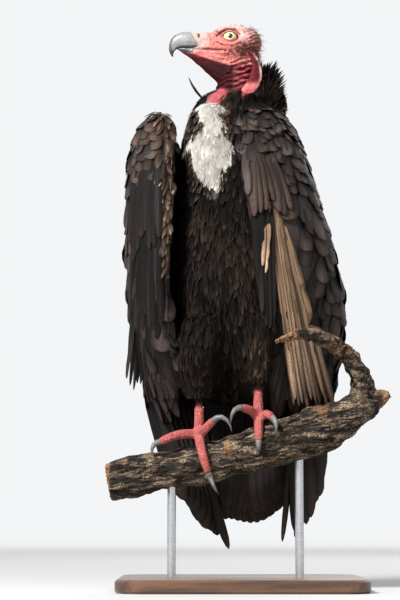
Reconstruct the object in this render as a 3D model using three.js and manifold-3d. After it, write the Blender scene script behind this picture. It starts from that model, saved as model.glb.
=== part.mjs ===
// A life-size red-headed vulture gripping a cut length of dead branch, on a plain display stand.
// Millimetres, +Z up. The chest faces -Y, turned towards -X, and the head looks along -X. "Left" and
// "right" are the bird's own, so its left side lies towards +X.
import * as THREE from "three";
import { mergeVertices } from "three/addons/utils/BufferGeometryUtils.js";
import Module from "manifold-3d";

const wasm = await Module();
wasm.setup();

// ---------------------------------------------------------------- driving dimensions

// Clear space left between two pieces that meet, and the finest detail kept where one is cut.
const FINE = { gap: 0.8, detail: 0.25 };
const BROAD = { gap: 1.9, detail: 0.7 };
const TOUCH = { gap: 0.3, detail: 0.08 };
const BODY_TURN = 25; // degrees that the trunk is turned from -Y towards -X
const PERCH_RADIUS = 27;
const PERCH_SLOPE = 0.31; // rise of the branch for each millimetre along +X
const PERCH_HEIGHT = 185; // middle of the branch above the floor, at X = 0
const PERCH_BEND = { from: -30, slope: 0.12 }; // how much flatter the branch lies towards its low end
const BASE = { length: 340, width: 290, thick: 18, corner: 36, bevel: 3, at: [12, 24] };
const ROD = { radius: 6, depth: 16, at: [-84, 92] };
const HEAD_AT = [-2.7, -25, 769]; // the point midway between the eyes
const EYE = { radius: 11, out: 13.6 };

const COLOUR = {
  plumage: 0x2b211c,
  quill: 0x3d3029,
  down: 0xe9e4da,
  skin: 0xc8584f,
  leg: 0xd9837b,
  horn: 0x6f6c68,
  cere: 0xe0a89a,
  eye: 0xf2e3a0,
  bark: 0x5a4a3c,
  wood: 0x4a3323,
  steel: 0x8d9094,
};

// ---------------------------------------------------------------- making solids

const vec = (p) => new THREE.Vector3(...p);
const UP = vec([0, 0, 1]);

// The part's frame for one level slice of the trunk: the bird's left and its forward direction.
const turn = THREE.MathUtils.degToRad(BODY_TURN);
const BIRD_LEFT = vec([Math.cos(turn), -Math.sin(turn), 0]);
const BIRD_FORWARD = vec([-Math.sin(turn), -Math.cos(turn), 0]);

// The middle line of the branch, and a place on its bark: the angle runs from the top, over the front.
const perchHeight = (x) => PERCH_HEIGHT + PERCH_SLOPE * x + PERCH_BEND.slope * Math.max(0, PERCH_BEND.from - x);
const grip = (x, angle, off) => {
  const turned = THREE.MathUtils.degToRad(angle);
  const reach = PERCH_RADIUS * 1.03 + off;
  return [x, -Math.sin(turned) * reach, perchHeight(x) + Math.cos(turned) * reach];
};

// A closed three.js geometry as a manifold-3d solid, turned outwards if it was inside out.
function solidOf(geometry, nearest = 1e-4) {
  const bare = geometry.clone();
  for (const name of ["normal", "uv"]) bare.deleteAttribute(name);
  const merged = mergeVertices(bare, nearest);
  const make = (triVerts) =>
    new wasm.Manifold(
      new wasm.Mesh({ numProp: 3, vertProperties: merged.attributes.position.array, triVerts }),
    );
  const made = make(new Uint32Array(merged.index.array));
  return made.volume() > 0 ? made : make(new Uint32Array(merged.index.array).reverse());
}

// A solid through closed rings of points, with a flat face on the first and last ring.
function skinned(rings) {
  const sides = rings[0].length;
  const index = [];
  for (let r = 0; r < rings.length - 1; r++)
    for (let s = 0; s < sides; s++) {
      const [a, b] = [r * sides + s, r * sides + ((s + 1) % sides)];
      index.push(a, b, a + sides, b, b + sides, a + sides);
    }
  for (const [r, forward] of [[0, false], [rings.length - 1, true]]) {
    const ring = rings[r];
    const normal = vec([0, 0, 0]);
    ring.forEach((p, i) => normal.add(p.clone().cross(ring[(i + 1) % sides])));
    const across = ring[1].clone().sub(ring[0]).cross(normal).normalize();
    const along = normal.clone().normalize().cross(across);
    const flat = ring.map((p) => new THREE.Vector2(p.dot(across), p.dot(along)));
    const flipped = THREE.ShapeUtils.isClockWise(flat);
    for (const [a, b, c] of THREE.ShapeUtils.triangulateShape(flat, [])) {
      const face = forward !== flipped ? [a, b, c] : [a, c, b];
      index.push(...face.map((k) => r * sides + k));
    }
  }
  const geometry = new THREE.BufferGeometry().setFromPoints(rings.flat()).setIndex(index);
  return solidOf(geometry);
}

// Signed power, which squares a circle up (over 2) or pinches it to a lozenge (under 2).
const squared = (value, power) => Math.sign(value) * Math.abs(value) ** (2 / power);

// A tube through stations [x, y, z, half width, half height, half depth below (if not the same)].
// Its sections stand square to the path, with their width along across where that is given, or keep
// the fixed directions in frame = [width, height].
function tube(
  stations,
  { rings = 10, sides = 12, up = UP, across = null, frame = null, power = 2, low = power } = {},
) {
  const path = new THREE.CatmullRomCurve3(stations.map((s) => vec(s.slice(0, 3))));
  const size = new THREE.CatmullRomCurve3(stations.map((s) => vec([s[3], s[4], s[5] ?? s[4]])));
  const made = [];
  for (let r = 0; r <= rings; r++) {
    const t = r / rings;
    const [at, half, along] = [path.getPoint(t), size.getPoint(t), path.getTangent(t)];
    const side = frame?.[0] ?? across ?? along.clone().cross(up).normalize();
    const rise = frame ? frame[1] : side.clone().cross(along);
    const ring = [];
    for (let s = 0; s < sides; s++) {
      const angle = ((s + 0.5) / sides) * 2 * Math.PI;
      const [c, h] = [Math.cos(angle), Math.sin(angle)];
      const shape = h > 0 ? power : low;
      const width = side.clone().multiplyScalar(squared(c, shape) * Math.max(half.x, 0.05));
      const height = rise.clone().multiplyScalar(squared(h, shape) * Math.max(h > 0 ? half.y : half.z, 0.05));
      ring.push(at.clone().add(width).add(height));
    }
    made.push(ring);
  }
  return skinned(made);
}

// An ellipsoid with the given half lengths along X, Y and Z, tipped by degrees about Y.
function ball(at, [a, b, c], tip = 0, sides = 14) {
  const geometry = new THREE.SphereGeometry(1, sides, Math.round(sides * 0.65));
  geometry.scale(a, b, c).rotateY(THREE.MathUtils.degToRad(tip)).translate(...at);
  return solidOf(geometry);
}

// The solid's surface as a three.js geometry.
function geometryOf(solid) {
  const mesh = solid.getMesh();
  const geometry = new THREE.BufferGeometry();
  geometry.setAttribute("position", new THREE.BufferAttribute(new Float32Array(mesh.vertProperties), mesh.numProp));
  geometry.setIndex(new THREE.BufferAttribute(new Uint32Array(mesh.triVerts), 1));
  return geometry;
}

const joined = (solids) => solids.reduce((all, one) => all.add(one));

// The solid with a clear gap added all round, to cut a neighbour back by it.
const margins = new Map([FINE, BROAD, TOUCH].map((limits) => [limits, new Map()]));
function grown(solid, limits) {
  const { gap, detail } = limits;
  const known = margins.get(limits);
  if (known.has(solid)) return known.get(solid);
  const geometry = geometryOf(solid.asOriginal().simplify(detail / 2));
  geometry.computeVertexNormals();
  const { position, normal } = geometry.attributes;
  for (let i = 0; i < position.array.length; i++) position.array[i] += normal.array[i] * gap;
  const steps = [0, 1, 2].flatMap((axis) => [-gap, gap].map((by) => [0, 0, 0].with(axis, by * 0.5)));
  const margin = joined([solidOf(geometry), ...steps.map((step) => solid.translate(step))])
    .asOriginal()
    .simplify(detail);
  known.set(solid, margin);
  return margin;
}

const largest = (solid) => solid.decompose().reduce((most, one) => (one.volume() > most.volume() ? one : most));

// What is left of the solid once its neighbours, each with its gap, are cut away.
function parted(solid, neighbours, limits = FINE) {
  const without = (whole, margin) => neighbours.reduce((left, other) => left.subtract(grown(other, margin)), whole);
  const plain = largest(without(solid, limits)).asOriginal().simplify(limits.detail);
  const clear = largest(without(plain, TOUCH)).asOriginal().simplify(TOUCH.detail);
  return largest(solidOf(geometryOf(clear), 0.002));
}

// ---------------------------------------------------------------- head, bill and neck

// A place on the head: forward along the bill, sideways towards the camera side, and up.
const onHead = (forward, side, rise) => [HEAD_AT[0] - forward, HEAD_AT[1] - side, HEAD_AT[2] + rise];
const headTube = (rows, options) =>
  tube(rows.map(([f, rise, ...half]) => [...onHead(f, 0, rise), ...half]), { across: vec([0, 1, 0]), ...options });

// Rows: forward, height of the widest line, half width, rise above it, drop below it.
const cranium = headTube(
  [
    [-40.5, -16, 7, 8, 9],
    [-37, -14, 16, 16, 19],
    [-29, -10, 22, 24, 29],
    [-18, -7, 25, 26, 33],
    [-4, -6, 24, 26, 31],
    [11, -6.5, 20.5, 24, 25],
    [25, -6, 15.5, 19, 19],
    [36, -3, 12, 14.5, 14],
  ],
  { rings: 10, sides: 14, power: 2.15 },
);
const jaw = headTube(
  [
    [-8, -29, 18, 8, 13],
    [16, -24, 12.8, 5, 11],
    [36, -18, 9.8, 4.4, 8.6],
    [53, -15.8, 7.6, 3.4, 6],
  ],
  { rings: 4, sides: 10 },
);
const brow = [-1, 1].map((side) => ball(onHead(2, side * 17, 10.5), [15, 5.5, 3.6], -8, 8));
const temple = [-1, 1].map((side) => ball(onHead(-19, side * 17, -13), [14, 8, 16], 0, 8));
const throatWeb = headTube(
  [
    [-16, -38, 18, 8, 36],
    [3, -33, 14, 6, 34],
    [21, -27, 10.5, 4, 27],
    [41, -22, 7.5, 3, 15.6],
    [60.5, -17.8, 4.5, 1.5, 4.6],
    [72, -14.8, 1.4, 0.6, 0.9],
  ],
  { rings: 8, sides: 10, power: 2, low: 1.6 },
);
const cereBlock = headTube(
  [
    [30, 0, 12.2, 11.6, 13],
    [42, -0.4, 10.6, 10.7, 12.6],
    [60, 0, 9.4, 11.4, 11.8],
  ],
  { rings: 4, sides: 14, power: 2.3 },
);
const hook = headTube(
  [
    [42, -0.2, 9.4, 10.6, 12],
    [57, 0.4, 9.2, 11.3, 11.8],
    [69, -0.6, 7.8, 10.8, 10.8],
    [76.4, -5.2, 5.4, 9.2, 8.2],
    [81, -12.5, 2.9, 5.4, 4.6],
    [82, -18.9, 1.5, 2.7, 2.5],
    [80.4, -24.2, 0.5, 0.6, 0.6],
  ],
  { rings: 10, sides: 12, power: 2.2, low: 2.6 },
);
const lowerTip = headTube(
  [
    [52, -15.8, 7.5, 3.4, 5.6],
    [64, -14, 5.6, 2.8, 3.6],
    [71, -13, 3.2, 2, 1.8],
    [74.5, -12.6, 1, 0.8, 0.8],
  ],
  { rings: 6, sides: 10 },
);
// The horn of the bill starts on a plane that slopes forward as it rises.
const cereEdge = new THREE.Vector3(-1, 0, -0.5).normalize();
const cereEdgeAt = vec(onHead(49.5, 0, 0)).dot(cereEdge);
const [horn] = hook.splitByPlane(cereEdge.toArray(), cereEdgeAt + FINE.gap / 2);
const [, cereFlesh] = cereBlock.splitByPlane(cereEdge.toArray(), cereEdgeAt - FINE.gap / 2);

const eyes = [-1, 1].map((side) => ball(onHead(0, side * EYE.out, -0.5), [EYE.radius, EYE.radius, EYE.radius], 0, 12));

const neckTube = tube(
  [
    [16, -22, 758, 20, 23],
    [14, -21, 735, 24, 27],
    [11, -16, 712, 27, 30],
    [8, -8, 694, 31, 34],
  ],
  { rings: 6, sides: 16, frame: [vec([0, 1, 0]), vec([1, 0, 0])] },
);
// One fold of bare skin hangs from behind each ear, with a rounded lobe at its foot.
const lappet = (side) =>
  tube(
    [
      [...onHead(-29, side * 23, -22), 3.5, 2],
      [...onHead(-36, side * 24.5, -40), 6.5, 2.8],
      [...onHead(-36, side * 26, -60), 9.5, 3.2],
      [...onHead(-27, side * 27, -76), 10, 3.6],
      [...onHead(-16, side * 27, -82), 4, 2],
    ],
    { rings: 8, sides: 8, up: vec([0, 1, 0]) },
  );
const lappets = [-1, 1].map(lappet);

// ---------------------------------------------------------------- trunk, crop and ruff

const trunkMass = tube(
  [
    [9, 6, 708, 26, 30, 30],
    [5, 4, 686, 55, 54, 52],
    [5, 3, 655, 68, 66, 64],
    [6, 3, 610, 80, 79, 76],
    [5, 4, 540, 84, 82, 84],
    [3, 6, 460, 82, 81, 84],
    [1, 10, 380, 76, 74, 76],
    [3, 22, 318, 68, 58, 64],
    [11, 40, 270, 58, 36, 48],
    [18, 52, 236, 44, 16, 30],
  ],
  { rings: 11, sides: 16, frame: [BIRD_LEFT, BIRD_FORWARD], power: 2.1 },
);
const cropMass = ball([-28, -52, 606], [38, 31, 68], -6, 14);

// Hind-neck ruff: a thick collar with loose pointed tufts standing off it.
const RUFF = { at: [42, 10], reach: 40, tufts: 8, first: -70, turn: 26, top: 745, steps: 3, drop: 19 };
const ruffTuft = (k) => {
  const around = THREE.MathUtils.degToRad(RUFF.first + k * RUFF.turn);
  const out = vec([Math.cos(around), Math.sin(around), 0]);
  const rise = RUFF.top - (k % RUFF.steps) * RUFF.drop;
  const at = (reach, z) => vec([...RUFF.at, z]).addScaledVector(out, reach).toArray();
  const stations = [
    [...at(RUFF.reach * 0.5, rise - 34), 15, 9],
    [...at(RUFF.reach * 0.83, rise - 14), 12, 6],
    [...at(RUFF.reach, rise), 2, 1],
  ];
  return tube(stations, { rings: 3, sides: 6, up: out });
};
const ruffMass = joined([
  tube(
    [
      [46, 10, 735, 10, 10],
      [47, 12, 723, 24, 22],
      [44, 13, 704, 34, 34],
      [39, 15, 680, 42, 38],
      [32, 16, 655, 44, 40],
    ],
    { rings: 7, sides: 12, frame: [BIRD_LEFT, BIRD_FORWARD] },
  ),
  ...Array.from({ length: RUFF.tufts }, (_, k) => ruffTuft(k)),
]);

// ---------------------------------------------------------------- wings

// One level slice of a folded wing: a curved slab from the leading edge round to the trailing edge.
const WING_STEPS = 7;
function wingSlice([z, leadX, leadY, bendX, bendY, trailX, trailY, half]) {
  const curve = new THREE.QuadraticBezierCurve3(
    vec([leadX, leadY, z]),
    vec([bendX, bendY, z]),
    vec([trailX, trailY, z]),
  );
  const edge = (sign) =>
    Array.from({ length: WING_STEPS }, (_, k) => {
      const t = (k + 0.5) / WING_STEPS;
      const nose = Math.sqrt(1 - (1 - Math.min(t / 0.22, 1)) ** 2);
      const thick = half * nose * (1 - 0.72 * t ** 1.6);
      const normal = curve.getTangent(t).cross(UP);
      return curve.getPoint(t).addScaledVector(normal, sign * thick);
    });
  return [curve.getPoint(0), ...edge(1), curve.getPoint(1), ...edge(-1).reverse()];
}
function wingMass(rows, rings = 12) {
  const curves = [0, 3, 6].map(
    (c) => new THREE.CatmullRomCurve3(rows.map((r) => vec([r[c], r[c + 1] ?? 0, r[c + 2] ?? 0]))),
  );
  const slices = Array.from({ length: rings + 1 }, (_, k) => {
    const row = curves.flatMap((curve) => curve.getPoint(k / rings).toArray());
    return wingSlice(row.slice(0, 8));
  });
  return skinned(slices);
}
// Rows: height, leading edge x y, bend x y, trailing edge x y, half thickness.
const LEFT_WING = [
  [673, 28, -42, 46, -42, 58, -22, 7],
  [659, 15, -50, 74, -45, 77, 12, 15],
  [630, 10, -60, 104, -50, 84, 40, 19],
  [590, 8, -73, 134, -48, 88, 60, 20],
  [535, 14, -82, 166, -38, 88, 74, 19],
  [478, 26, -80, 202, -26, 88, 84, 18],
  [420, 39, -66, 224, -6, 88, 92, 17],
  [360, 51, -40, 232, 20, 88, 98, 15],
  [300, 48, -10, 214, 40, 90, 100, 12],
  [246, 56, 26, 178, 54, 94, 96, 8],
];
const RIGHT_WING = [
  [664, -94, -40, -114, -32, -104, -14, 8],
  [650, -82, -54, -146, -38, -88, 22, 17],
  [630, -76, -63, -176, -34, -68, 48, 20],
  [590, -77, -72, -204, -24, -46, 72, 20],
  [535, -79, -76, -214, -12, -28, 88, 19],
  [478, -82, -72, -216, 2, -18, 96, 18],
  [420, -84, -60, -214, 16, -14, 102, 17],
  [360, -82, -36, -204, 30, -14, 106, 15],
  [300, -75, -2, -184, 44, -18, 106, 12],
  [246, -64, 34, -158, 58, -28, 100, 8],
];

// A flight feather: a long flat blade whose face turns with its own facing direction.
function blade([root, tip, width, thick, facing, bow = 0]) {
  const facingDir = vec(facing).normalize();
  const at = (t) =>
    vec(root)
      .lerp(vec(tip), t)
      .addScaledVector(facingDir, bow * Math.sin(Math.PI * t));
  const half = width / 2;
  return tube(
    [
      [...at(0), half, thick / 1.5],
      [...at(0.35), half * 1.4, thick / 1.5],
      [...at(0.8), half * 1.3, thick / 1.5],
      [...at(0.95), half * 0.7, thick / 2],
      [...at(1), 1.5, 0.8],
    ],
    { rings: 5, sides: 4, up: facingDir },
  );
}
const between = (a, b, t) => a.map((value, k) => value + (b[k] - value) * t);

// The folded primaries of one wing: a bundle whose tips are staggered.
function primaries({ count, roots, tips, width, thick, facing, stagger }) {
  return joined(
    Array.from({ length: count }, (_, k) => {
      const t = k / (count - 1);
      const tip = between(tips[0], tips[1], t);
      tip[2] += stagger(t);
      return blade([between(roots[0], roots[1], t), tip, width, thick, facing, 6]);
    }),
  );
}
const leftPrimaries = joined([
  primaries({
    count: 6,
    roots: [[84, 46, 300], [128, 66, 312]],
    tips: [[92, 62, 68], [126, 74, 128]],
    width: 24,
    thick: 7,
    facing: [0.5, -0.86, 0],
    stagger: (t) => 6 * Math.sin(9 * t),
  }),
  blade([[90, 42, 300], [71, 56, 62], 11, 6, [0.5, -0.86, 0], 4]),
]);
const rightPrimaries = joined([
  primaries({
    count: 7,
    roots: [[-122, 52, 312], [-62, 76, 300]],
    tips: [[-66, 62, 122], [-20, 80, 66]],
    width: 28,
    thick: 7,
    facing: [-0.55, -0.83, 0],
    stagger: (t) => 5 * Math.sin(8 * t),
  }),
  blade([[-78, 68, 300], [-2, 70, 50], 13, 6, [-0.4, -0.9, 0], 4]),
]);

// A cut through a solid along a plane: the part on the normal's side, and the part behind it.
function sliced(solid, normal, place, { gap } = BROAD) {
  const across = vec(normal).normalize();
  const at = vec(place).dot(across);
  const above = solid.trimByPlane(across.toArray(), at + gap / 2);
  const below = solid.trimByPlane(across.clone().negate().toArray(), gap / 2 - at);
  return [above, below];
}

// Each wing's mass parts along sloping planes into wrist, coverts and flight feathers, which the
// bundle of primaries carries on below.
function wingParts(mass, bundle, towards) {
  const [wrist, rest] = sliced(mass, [0.25 * towards, 0.3, 1], [60 * towards, -40, 590]);
  const [coverts, low] = sliced(rest, [0.55 * towards, -0.1, 1], [110 * towards, 20, 400]);
  const [flight] = sliced(low, [-0.2 * towards, 0, 1], [110 * towards, 60, 270]);
  const [, primaries] = sliced(bundle, [-0.2 * towards, 0, 1], [110 * towards, 60, 270]);
  return { wrist, coverts, flight, primaries };
}
const leftWing = wingParts(wingMass(LEFT_WING), leftPrimaries, 1);
const rightWing = wingParts(wingMass(RIGHT_WING), rightPrimaries, -1);

// ---------------------------------------------------------------- tail

const TAIL = { feathers: 12, root: [20, 62, 316], wide: 82, spread: [-26, 72], back: 80, width: 30, thick: 5 };
const tailFan = joined(
  Array.from({ length: TAIL.feathers }, (_, k) => {
    const t = k / (TAIL.feathers - 1);
    const off = Math.abs(t - 0.5) * 2;
    const tipX = THREE.MathUtils.lerp(TAIL.spread[0], TAIL.spread[1], t);
    const tipZ = 90 + 34 * Math.max(t - 0.35, 0) ** 1.3 + 6 * Math.sin(7 * t);
    const tip = [tipX, TAIL.back + 10 * (1 - off), tipZ];
    const root = [TAIL.root[0] + (t - 0.5) * TAIL.wide, TAIL.root[1] + 5 * (1 - off), TAIL.root[2]];
    return blade([root, tip, TAIL.width, TAIL.thick, [0, 1, 0], 5]);
  }),
);

// ---------------------------------------------------------------- legs and feet

const RIGHT_FOOT = [-46, -7, 214];
const LEFT_FOOT = [36, -5, 236];
const thigh = ([x, y, z], hip) =>
  tube(
    [
      [...hip, 40, 44],
      [...between(hip, [x, y, z + 60], 0.45), 41, 43],
      [x, y + 6, z + 76, 30, 31],
      [x, y + 6, z + 48, 17, 18],
      [x, y + 5, z + 38, 6, 6],
    ],
    { rings: 6, sides: 10, frame: [BIRD_LEFT, BIRD_FORWARD] },
  );
const thighs = [thigh(RIGHT_FOOT, [-30, -18, 372]), thigh(LEFT_FOOT, [36, -26, 380])];
const shank = ([x, y, z]) =>
  joined([
    tube([[x, y + 14, z + 92, 8, 8], [x, y + 8, z + 50, 7, 7.4], [x, y + 3, z + 14, 7.4, 7.6], [x, y, z, 9, 9]], {
      rings: 4,
      sides: 8,
      up: vec([0, 1, 0]),
    }),
    ball([x, y + 15, z + 92], [10, 10, 11], 0, 8),
  ]);

// A toe or claw as a chain of places, thinning to its end.
const chain = (places, first, last, rings = 6) =>
  tube(
    places.map((p, k) => {
      const size = THREE.MathUtils.lerp(first, last, k / (places.length - 1));
      return [...p, size, size];
    }),
    { rings, sides: 6, up: vec([0.31, 0.1, 0.9]) },
  );
// Claws sit on the toes' ends and curve to a point; the rows give a base, a crown and a tip.
const claw = (places, base) =>
  tube(
    places.map((p, k) => {
      const size = [base, base * 0.82, base * 0.45, 0.35][k];
      return [...p, size * 0.82, size];
    }),
    { rings: 5, sides: 7, up: vec([0.2, -0.9, 0.3]) },
  );
const FEET = {
  right: {
    at: RIGHT_FOOT,
    toes: {
      middle: [[-46, -6, 214], grip(-44, 45, 8), grip(-40, 80, 8), grip(-34, 113, 7)],
      outer: [[-46, -6, 214], [-66, -15, 214], [-84, -19, 210], [-99, -20, 203]],
      inner: [[-46, -6, 214], [-39, -24, 219], [-27, -35, 231]],
      hind: [[-46, -6, 214], grip(-45, -36, 8), grip(-44, -70, 8), grip(-43, -98, 8)],
    },
    claws: {
      middle: [grip(-33.6, 115, 7), grip(-31, 126, 8), [-25, -34, 140], [-19, -29, 130]],
      outer: [[-99.6, -20, 202.6], [-107, -22, 200], [-111, -25, 191], [-108, -27, 180]],
      inner: [[-26.6, -35.5, 231.3], [-17, -42, 236], [-6, -44, 229], [-1, -41, 214]],
      hind: [grip(-43, -100, 8), grip(-43, -114, 9), grip(-42, -130, 7), grip(-41, -142, 4)],
    },
  },
  left: {
    at: LEFT_FOOT,
    toes: {
      middle: [[36, -4, 236], grip(36, 30, 10), grip(35.5, 55, 10), grip(35, 76, 9)],
      outer: [[36, -4, 236], [46, -20, 241], [54, -34, 236]],
      inner: [[36, -4, 236], [25, -20, 246], [13, -32, 249]],
      hind: [[36, -4, 236], grip(37, -32, 10), grip(38, -66, 10), grip(38, -92, 9)],
    },
    claws: {
      middle: [grip(35, 77.5, 9), grip(35, 88, 10), grip(35.4, 98, 9), grip(36, 108, 5)],
      outer: [[54.4, -34.6, 235.4], [58, -41, 229], [59, -44, 219], [58, -41, 208]],
      inner: [[12.4, -32.6, 249], [4, -39, 247], [-2, -41, 237], [-3, -39, 224]],
      hind: [grip(38, -93.5, 9), grip(38, -106, 10), grip(38, -122, 8), grip(37, -134, 4)],
    },
  },
};

// ---------------------------------------------------------------- branch and stand

// One station of the branch: its place off the straight line, and how thick it is there.
const perchRow = ([x, y, scale, lift]) => {
  const radius = PERCH_RADIUS * scale;
  return [x, y, perchHeight(x) + lift, radius, radius * 0.97, radius];
};
const PERCH_ROWS = [
  [-172, 4, 1.02, 0],
  [-130, 2, 1.08, 0],
  [-90, 1, 1, 0],
  [-45, 0, 1, 0],
  [10, 0, 1.06, 0],
  [60, -1, 1.18, -2],
  [105, -3, 1.3, -3],
  [145, -6, 1.18, 3],
  [184, -9, 0.76, 11],
  [218, -12, 0.24, 18],
];
const log = tube(PERCH_ROWS.map(perchRow), { rings: 15, sides: 10, power: 2.2 });
// A broken side branch curls back over the perch's high end.
const stub = tube(
  [
    [178, -10, 246, 22, 20],
    [180, -15, 286, 18, 17],
    [160, -33, 318, 15, 14],
    [133, -54, 337, 13, 12],
    [104, -70, 348, 11, 10.5],
    [56, -90, 334, 4, 4],
  ],
  { rings: 8, sides: 8, up: vec([0.6, -0.6, 0.5]) },
);
const knot = ball([-112, -12, 158], [14, 18, 13], 0, 10);
const perchWhole = joined([log, stub, knot]);

// The base is a rounded board, and the rods rise from it into drilled holes in the branch.
function board({ length, width, thick, corner, bevel, at }) {
  const [w, d] = [length / 2 - bevel, width / 2 - bevel];
  const outline = new THREE.Shape()
    .moveTo(-w + corner, -d)
    .lineTo(w - corner, -d)
    .absarc(w - corner, -d + corner, corner, -Math.PI / 2, 0)
    .lineTo(w, d - corner)
    .absarc(w - corner, d - corner, corner, 0, Math.PI / 2)
    .lineTo(-w + corner, d)
    .absarc(-w + corner, d - corner, corner, Math.PI / 2, Math.PI)
    .lineTo(-w, -d + corner)
    .absarc(-w + corner, -d + corner, corner, Math.PI, 1.5 * Math.PI);
  const geometry = new THREE.ExtrudeGeometry(outline, {
    depth: thick - 2 * bevel,
    bevelThickness: bevel,
    bevelSize: bevel,
    bevelSegments: 1,
    curveSegments: 4,
  });
  return solidOf(geometry.translate(at[0], at[1], bevel));
}
const rodTop = (x) => perchHeight(x) - PERCH_RADIUS + ROD.depth;
const rod = (x, radius, from, to) =>
  solidOf(new THREE.CylinderGeometry(radius, radius, to - from, 14).rotateX(Math.PI / 2).translate(x, 0, (from + to) / 2));

// ---------------------------------------------------------------- parting the pieces

const solids = {};
const named = (...names) => names.map((name) => solids[name]);
const startingWith = (start) => Object.keys(solids).filter((name) => name.startsWith(start));

[solids.eye_right, solids.eye_left] = eyes;
solids.bill_upper = horn;
solids.bill_lower = parted(lowerTip, [horn]);
solids.cere = parted(cereFlesh, [solids.bill_lower]);
const skull = joined([cranium, jaw, ...brow, ...temple]);
solids.head = parted(skull, named("eye_left", "eye_right", "bill_upper", "bill_lower", "cere"));
solids.throat = parted(throatWeb, named("head", "bill_lower", "bill_upper", "cere"));
solids.neck = parted(neckTube, named("head", "throat"), BROAD);
const face = named("head", "throat", "neck");
[solids.lappet_right, solids.lappet_left] = lappets.map((flap) => parted(flap, face));
const folds = named("lappet_left", "lappet_right");

for (const [side, wing] of Object.entries({ left: leftWing, right: rightWing }))
  for (const [name, solid] of Object.entries(wing))
    solids[`wing_${side}_${name}`] = parted(solid, name === "primaries" ? [] : [...face, ...folds], BROAD);
const wings = named(...startingWith("wing_"));
solids.ruff = parted(ruffMass, [...face, ...folds, ...wings], BROAD);
solids.crop = parted(cropMass, [...face, ...folds, ...wings], BROAD);

for (const side of ["left", "right"]) {
  const foot = FEET[side];
  for (const [name, places] of Object.entries(foot.claws))
    solids[`claw_${side}_${name}`] = parted(claw(places, 5.4), [perchWhole]);
  const toes = joined(Object.values(foot.toes).map((places) => chain(places, 7.6, 6)));
  solids[`foot_${side}`] = parted(toes, [perchWhole, ...named(...startingWith(`claw_${side}`))]);
  solids[`shank_${side}`] = parted(shank(foot.at), [solids[`foot_${side}`], perchWhole]);
}
const RUMP = [[0, -0.6, 1], [20, 52, 268]]; // where the tail's feathers leave the body
solids.tail = parted(sliced(tailFan, ...RUMP)[1], wings, BROAD);
const behind = [...wings, solids.tail];
solids.thigh_right = parted(thighs[0], [solids.shank_right, ...behind], BROAD);
solids.thigh_left = parted(thighs[1], [...named("shank_left", "thigh_right"), ...behind], BROAD);
const legs = named("thigh_left", "thigh_right", "shank_left", "shank_right");
solids.trunk = parted(sliced(trunkMass, ...RUMP)[0], [...face, ...folds, ...named("ruff", "crop"), ...legs, ...behind], BROAD);

solids.stand_base = board(BASE);
let drilled = perchWhole;
ROD.at.forEach((x, k) => {
  const top = rodTop(x);
  solids[`stand_rod_${k + 1}`] = rod(x, ROD.radius, BASE.thick + FINE.gap, top);
  drilled = drilled.subtract(rod(x, ROD.radius + FINE.gap, 0, top + FINE.gap));
});
solids.perch = parted(drilled, []);

// ---------------------------------------------------------------- the scene graph

const LOOK = [
  [/^eye/, COLOUR.eye, 0.15],
  [/^bill|^claw/, COLOUR.horn, 0.4],
  [/^cere/, COLOUR.cere, 0.5],
  [/^head|^throat|^neck|^lappet/, COLOUR.skin, 0.6],
  [/^foot|^shank/, COLOUR.leg, 0.6],
  [/^crop/, COLOUR.down, 0.95],
  [/secondaries|primaries|^tail/, COLOUR.quill, 0.7],
  [/^perch/, COLOUR.bark, 0.95],
  [/^stand_base/, COLOUR.wood, 0.5],
  [/^stand_rod/, COLOUR.steel, 0.35],
  [/./, COLOUR.plumage, 0.85],
];
const vulture = new THREE.Group();
for (const [name, solid] of Object.entries(solids)) {
  const [, color, roughness] = LOOK.find(([pattern]) => pattern.test(name));
  const metalness = name.startsWith("stand_rod") ? 0.9 : 0;
  const material = new THREE.MeshStandardMaterial({ color, roughness, metalness });
  const piece = new THREE.Mesh(geometryOf(solid), material);
  piece.name = name;
  vulture.add(piece);
}
// The origin is the middle of the object's box, on the floor.
const middle = new THREE.Box3().setFromObject(vulture).getCenter(vec([0, 0, 0]));
vulture.position.set(-middle.x, -middle.y, 0);

export default vulture;
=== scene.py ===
"""Dresses a life-size red-headed vulture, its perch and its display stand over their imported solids."""

from __future__ import annotations

import logging
import math
from dataclasses import dataclass
from enum import Enum
from itertools import product
from typing import Callable, Iterable, Mapping, Sequence

import bmesh
import bpy
import numpy as np
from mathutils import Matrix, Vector
from mathutils.bvhtree import BVHTree


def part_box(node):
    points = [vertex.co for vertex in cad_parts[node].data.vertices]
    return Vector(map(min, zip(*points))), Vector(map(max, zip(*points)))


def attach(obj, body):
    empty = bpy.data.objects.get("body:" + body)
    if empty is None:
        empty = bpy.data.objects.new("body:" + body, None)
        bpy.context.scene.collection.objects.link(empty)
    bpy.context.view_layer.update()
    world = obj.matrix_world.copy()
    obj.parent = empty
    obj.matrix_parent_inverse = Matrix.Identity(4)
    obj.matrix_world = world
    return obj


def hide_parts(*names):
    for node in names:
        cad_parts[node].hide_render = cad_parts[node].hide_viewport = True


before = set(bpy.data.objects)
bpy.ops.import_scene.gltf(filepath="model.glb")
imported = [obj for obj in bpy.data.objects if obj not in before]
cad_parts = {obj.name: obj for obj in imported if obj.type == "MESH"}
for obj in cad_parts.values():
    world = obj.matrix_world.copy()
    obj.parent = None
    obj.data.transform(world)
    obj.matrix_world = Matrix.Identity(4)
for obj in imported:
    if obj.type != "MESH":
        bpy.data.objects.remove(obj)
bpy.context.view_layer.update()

LOG = logging.getLogger("vulture")
Pair = tuple[float, float]
Spot = tuple[float, float, float]
Colour = Spot
Array = np.ndarray
Row = Sequence[float]
Piece = bpy.types.Object
Socket = bpy.types.NodeSocket
column_stack = np.column_stack

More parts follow.
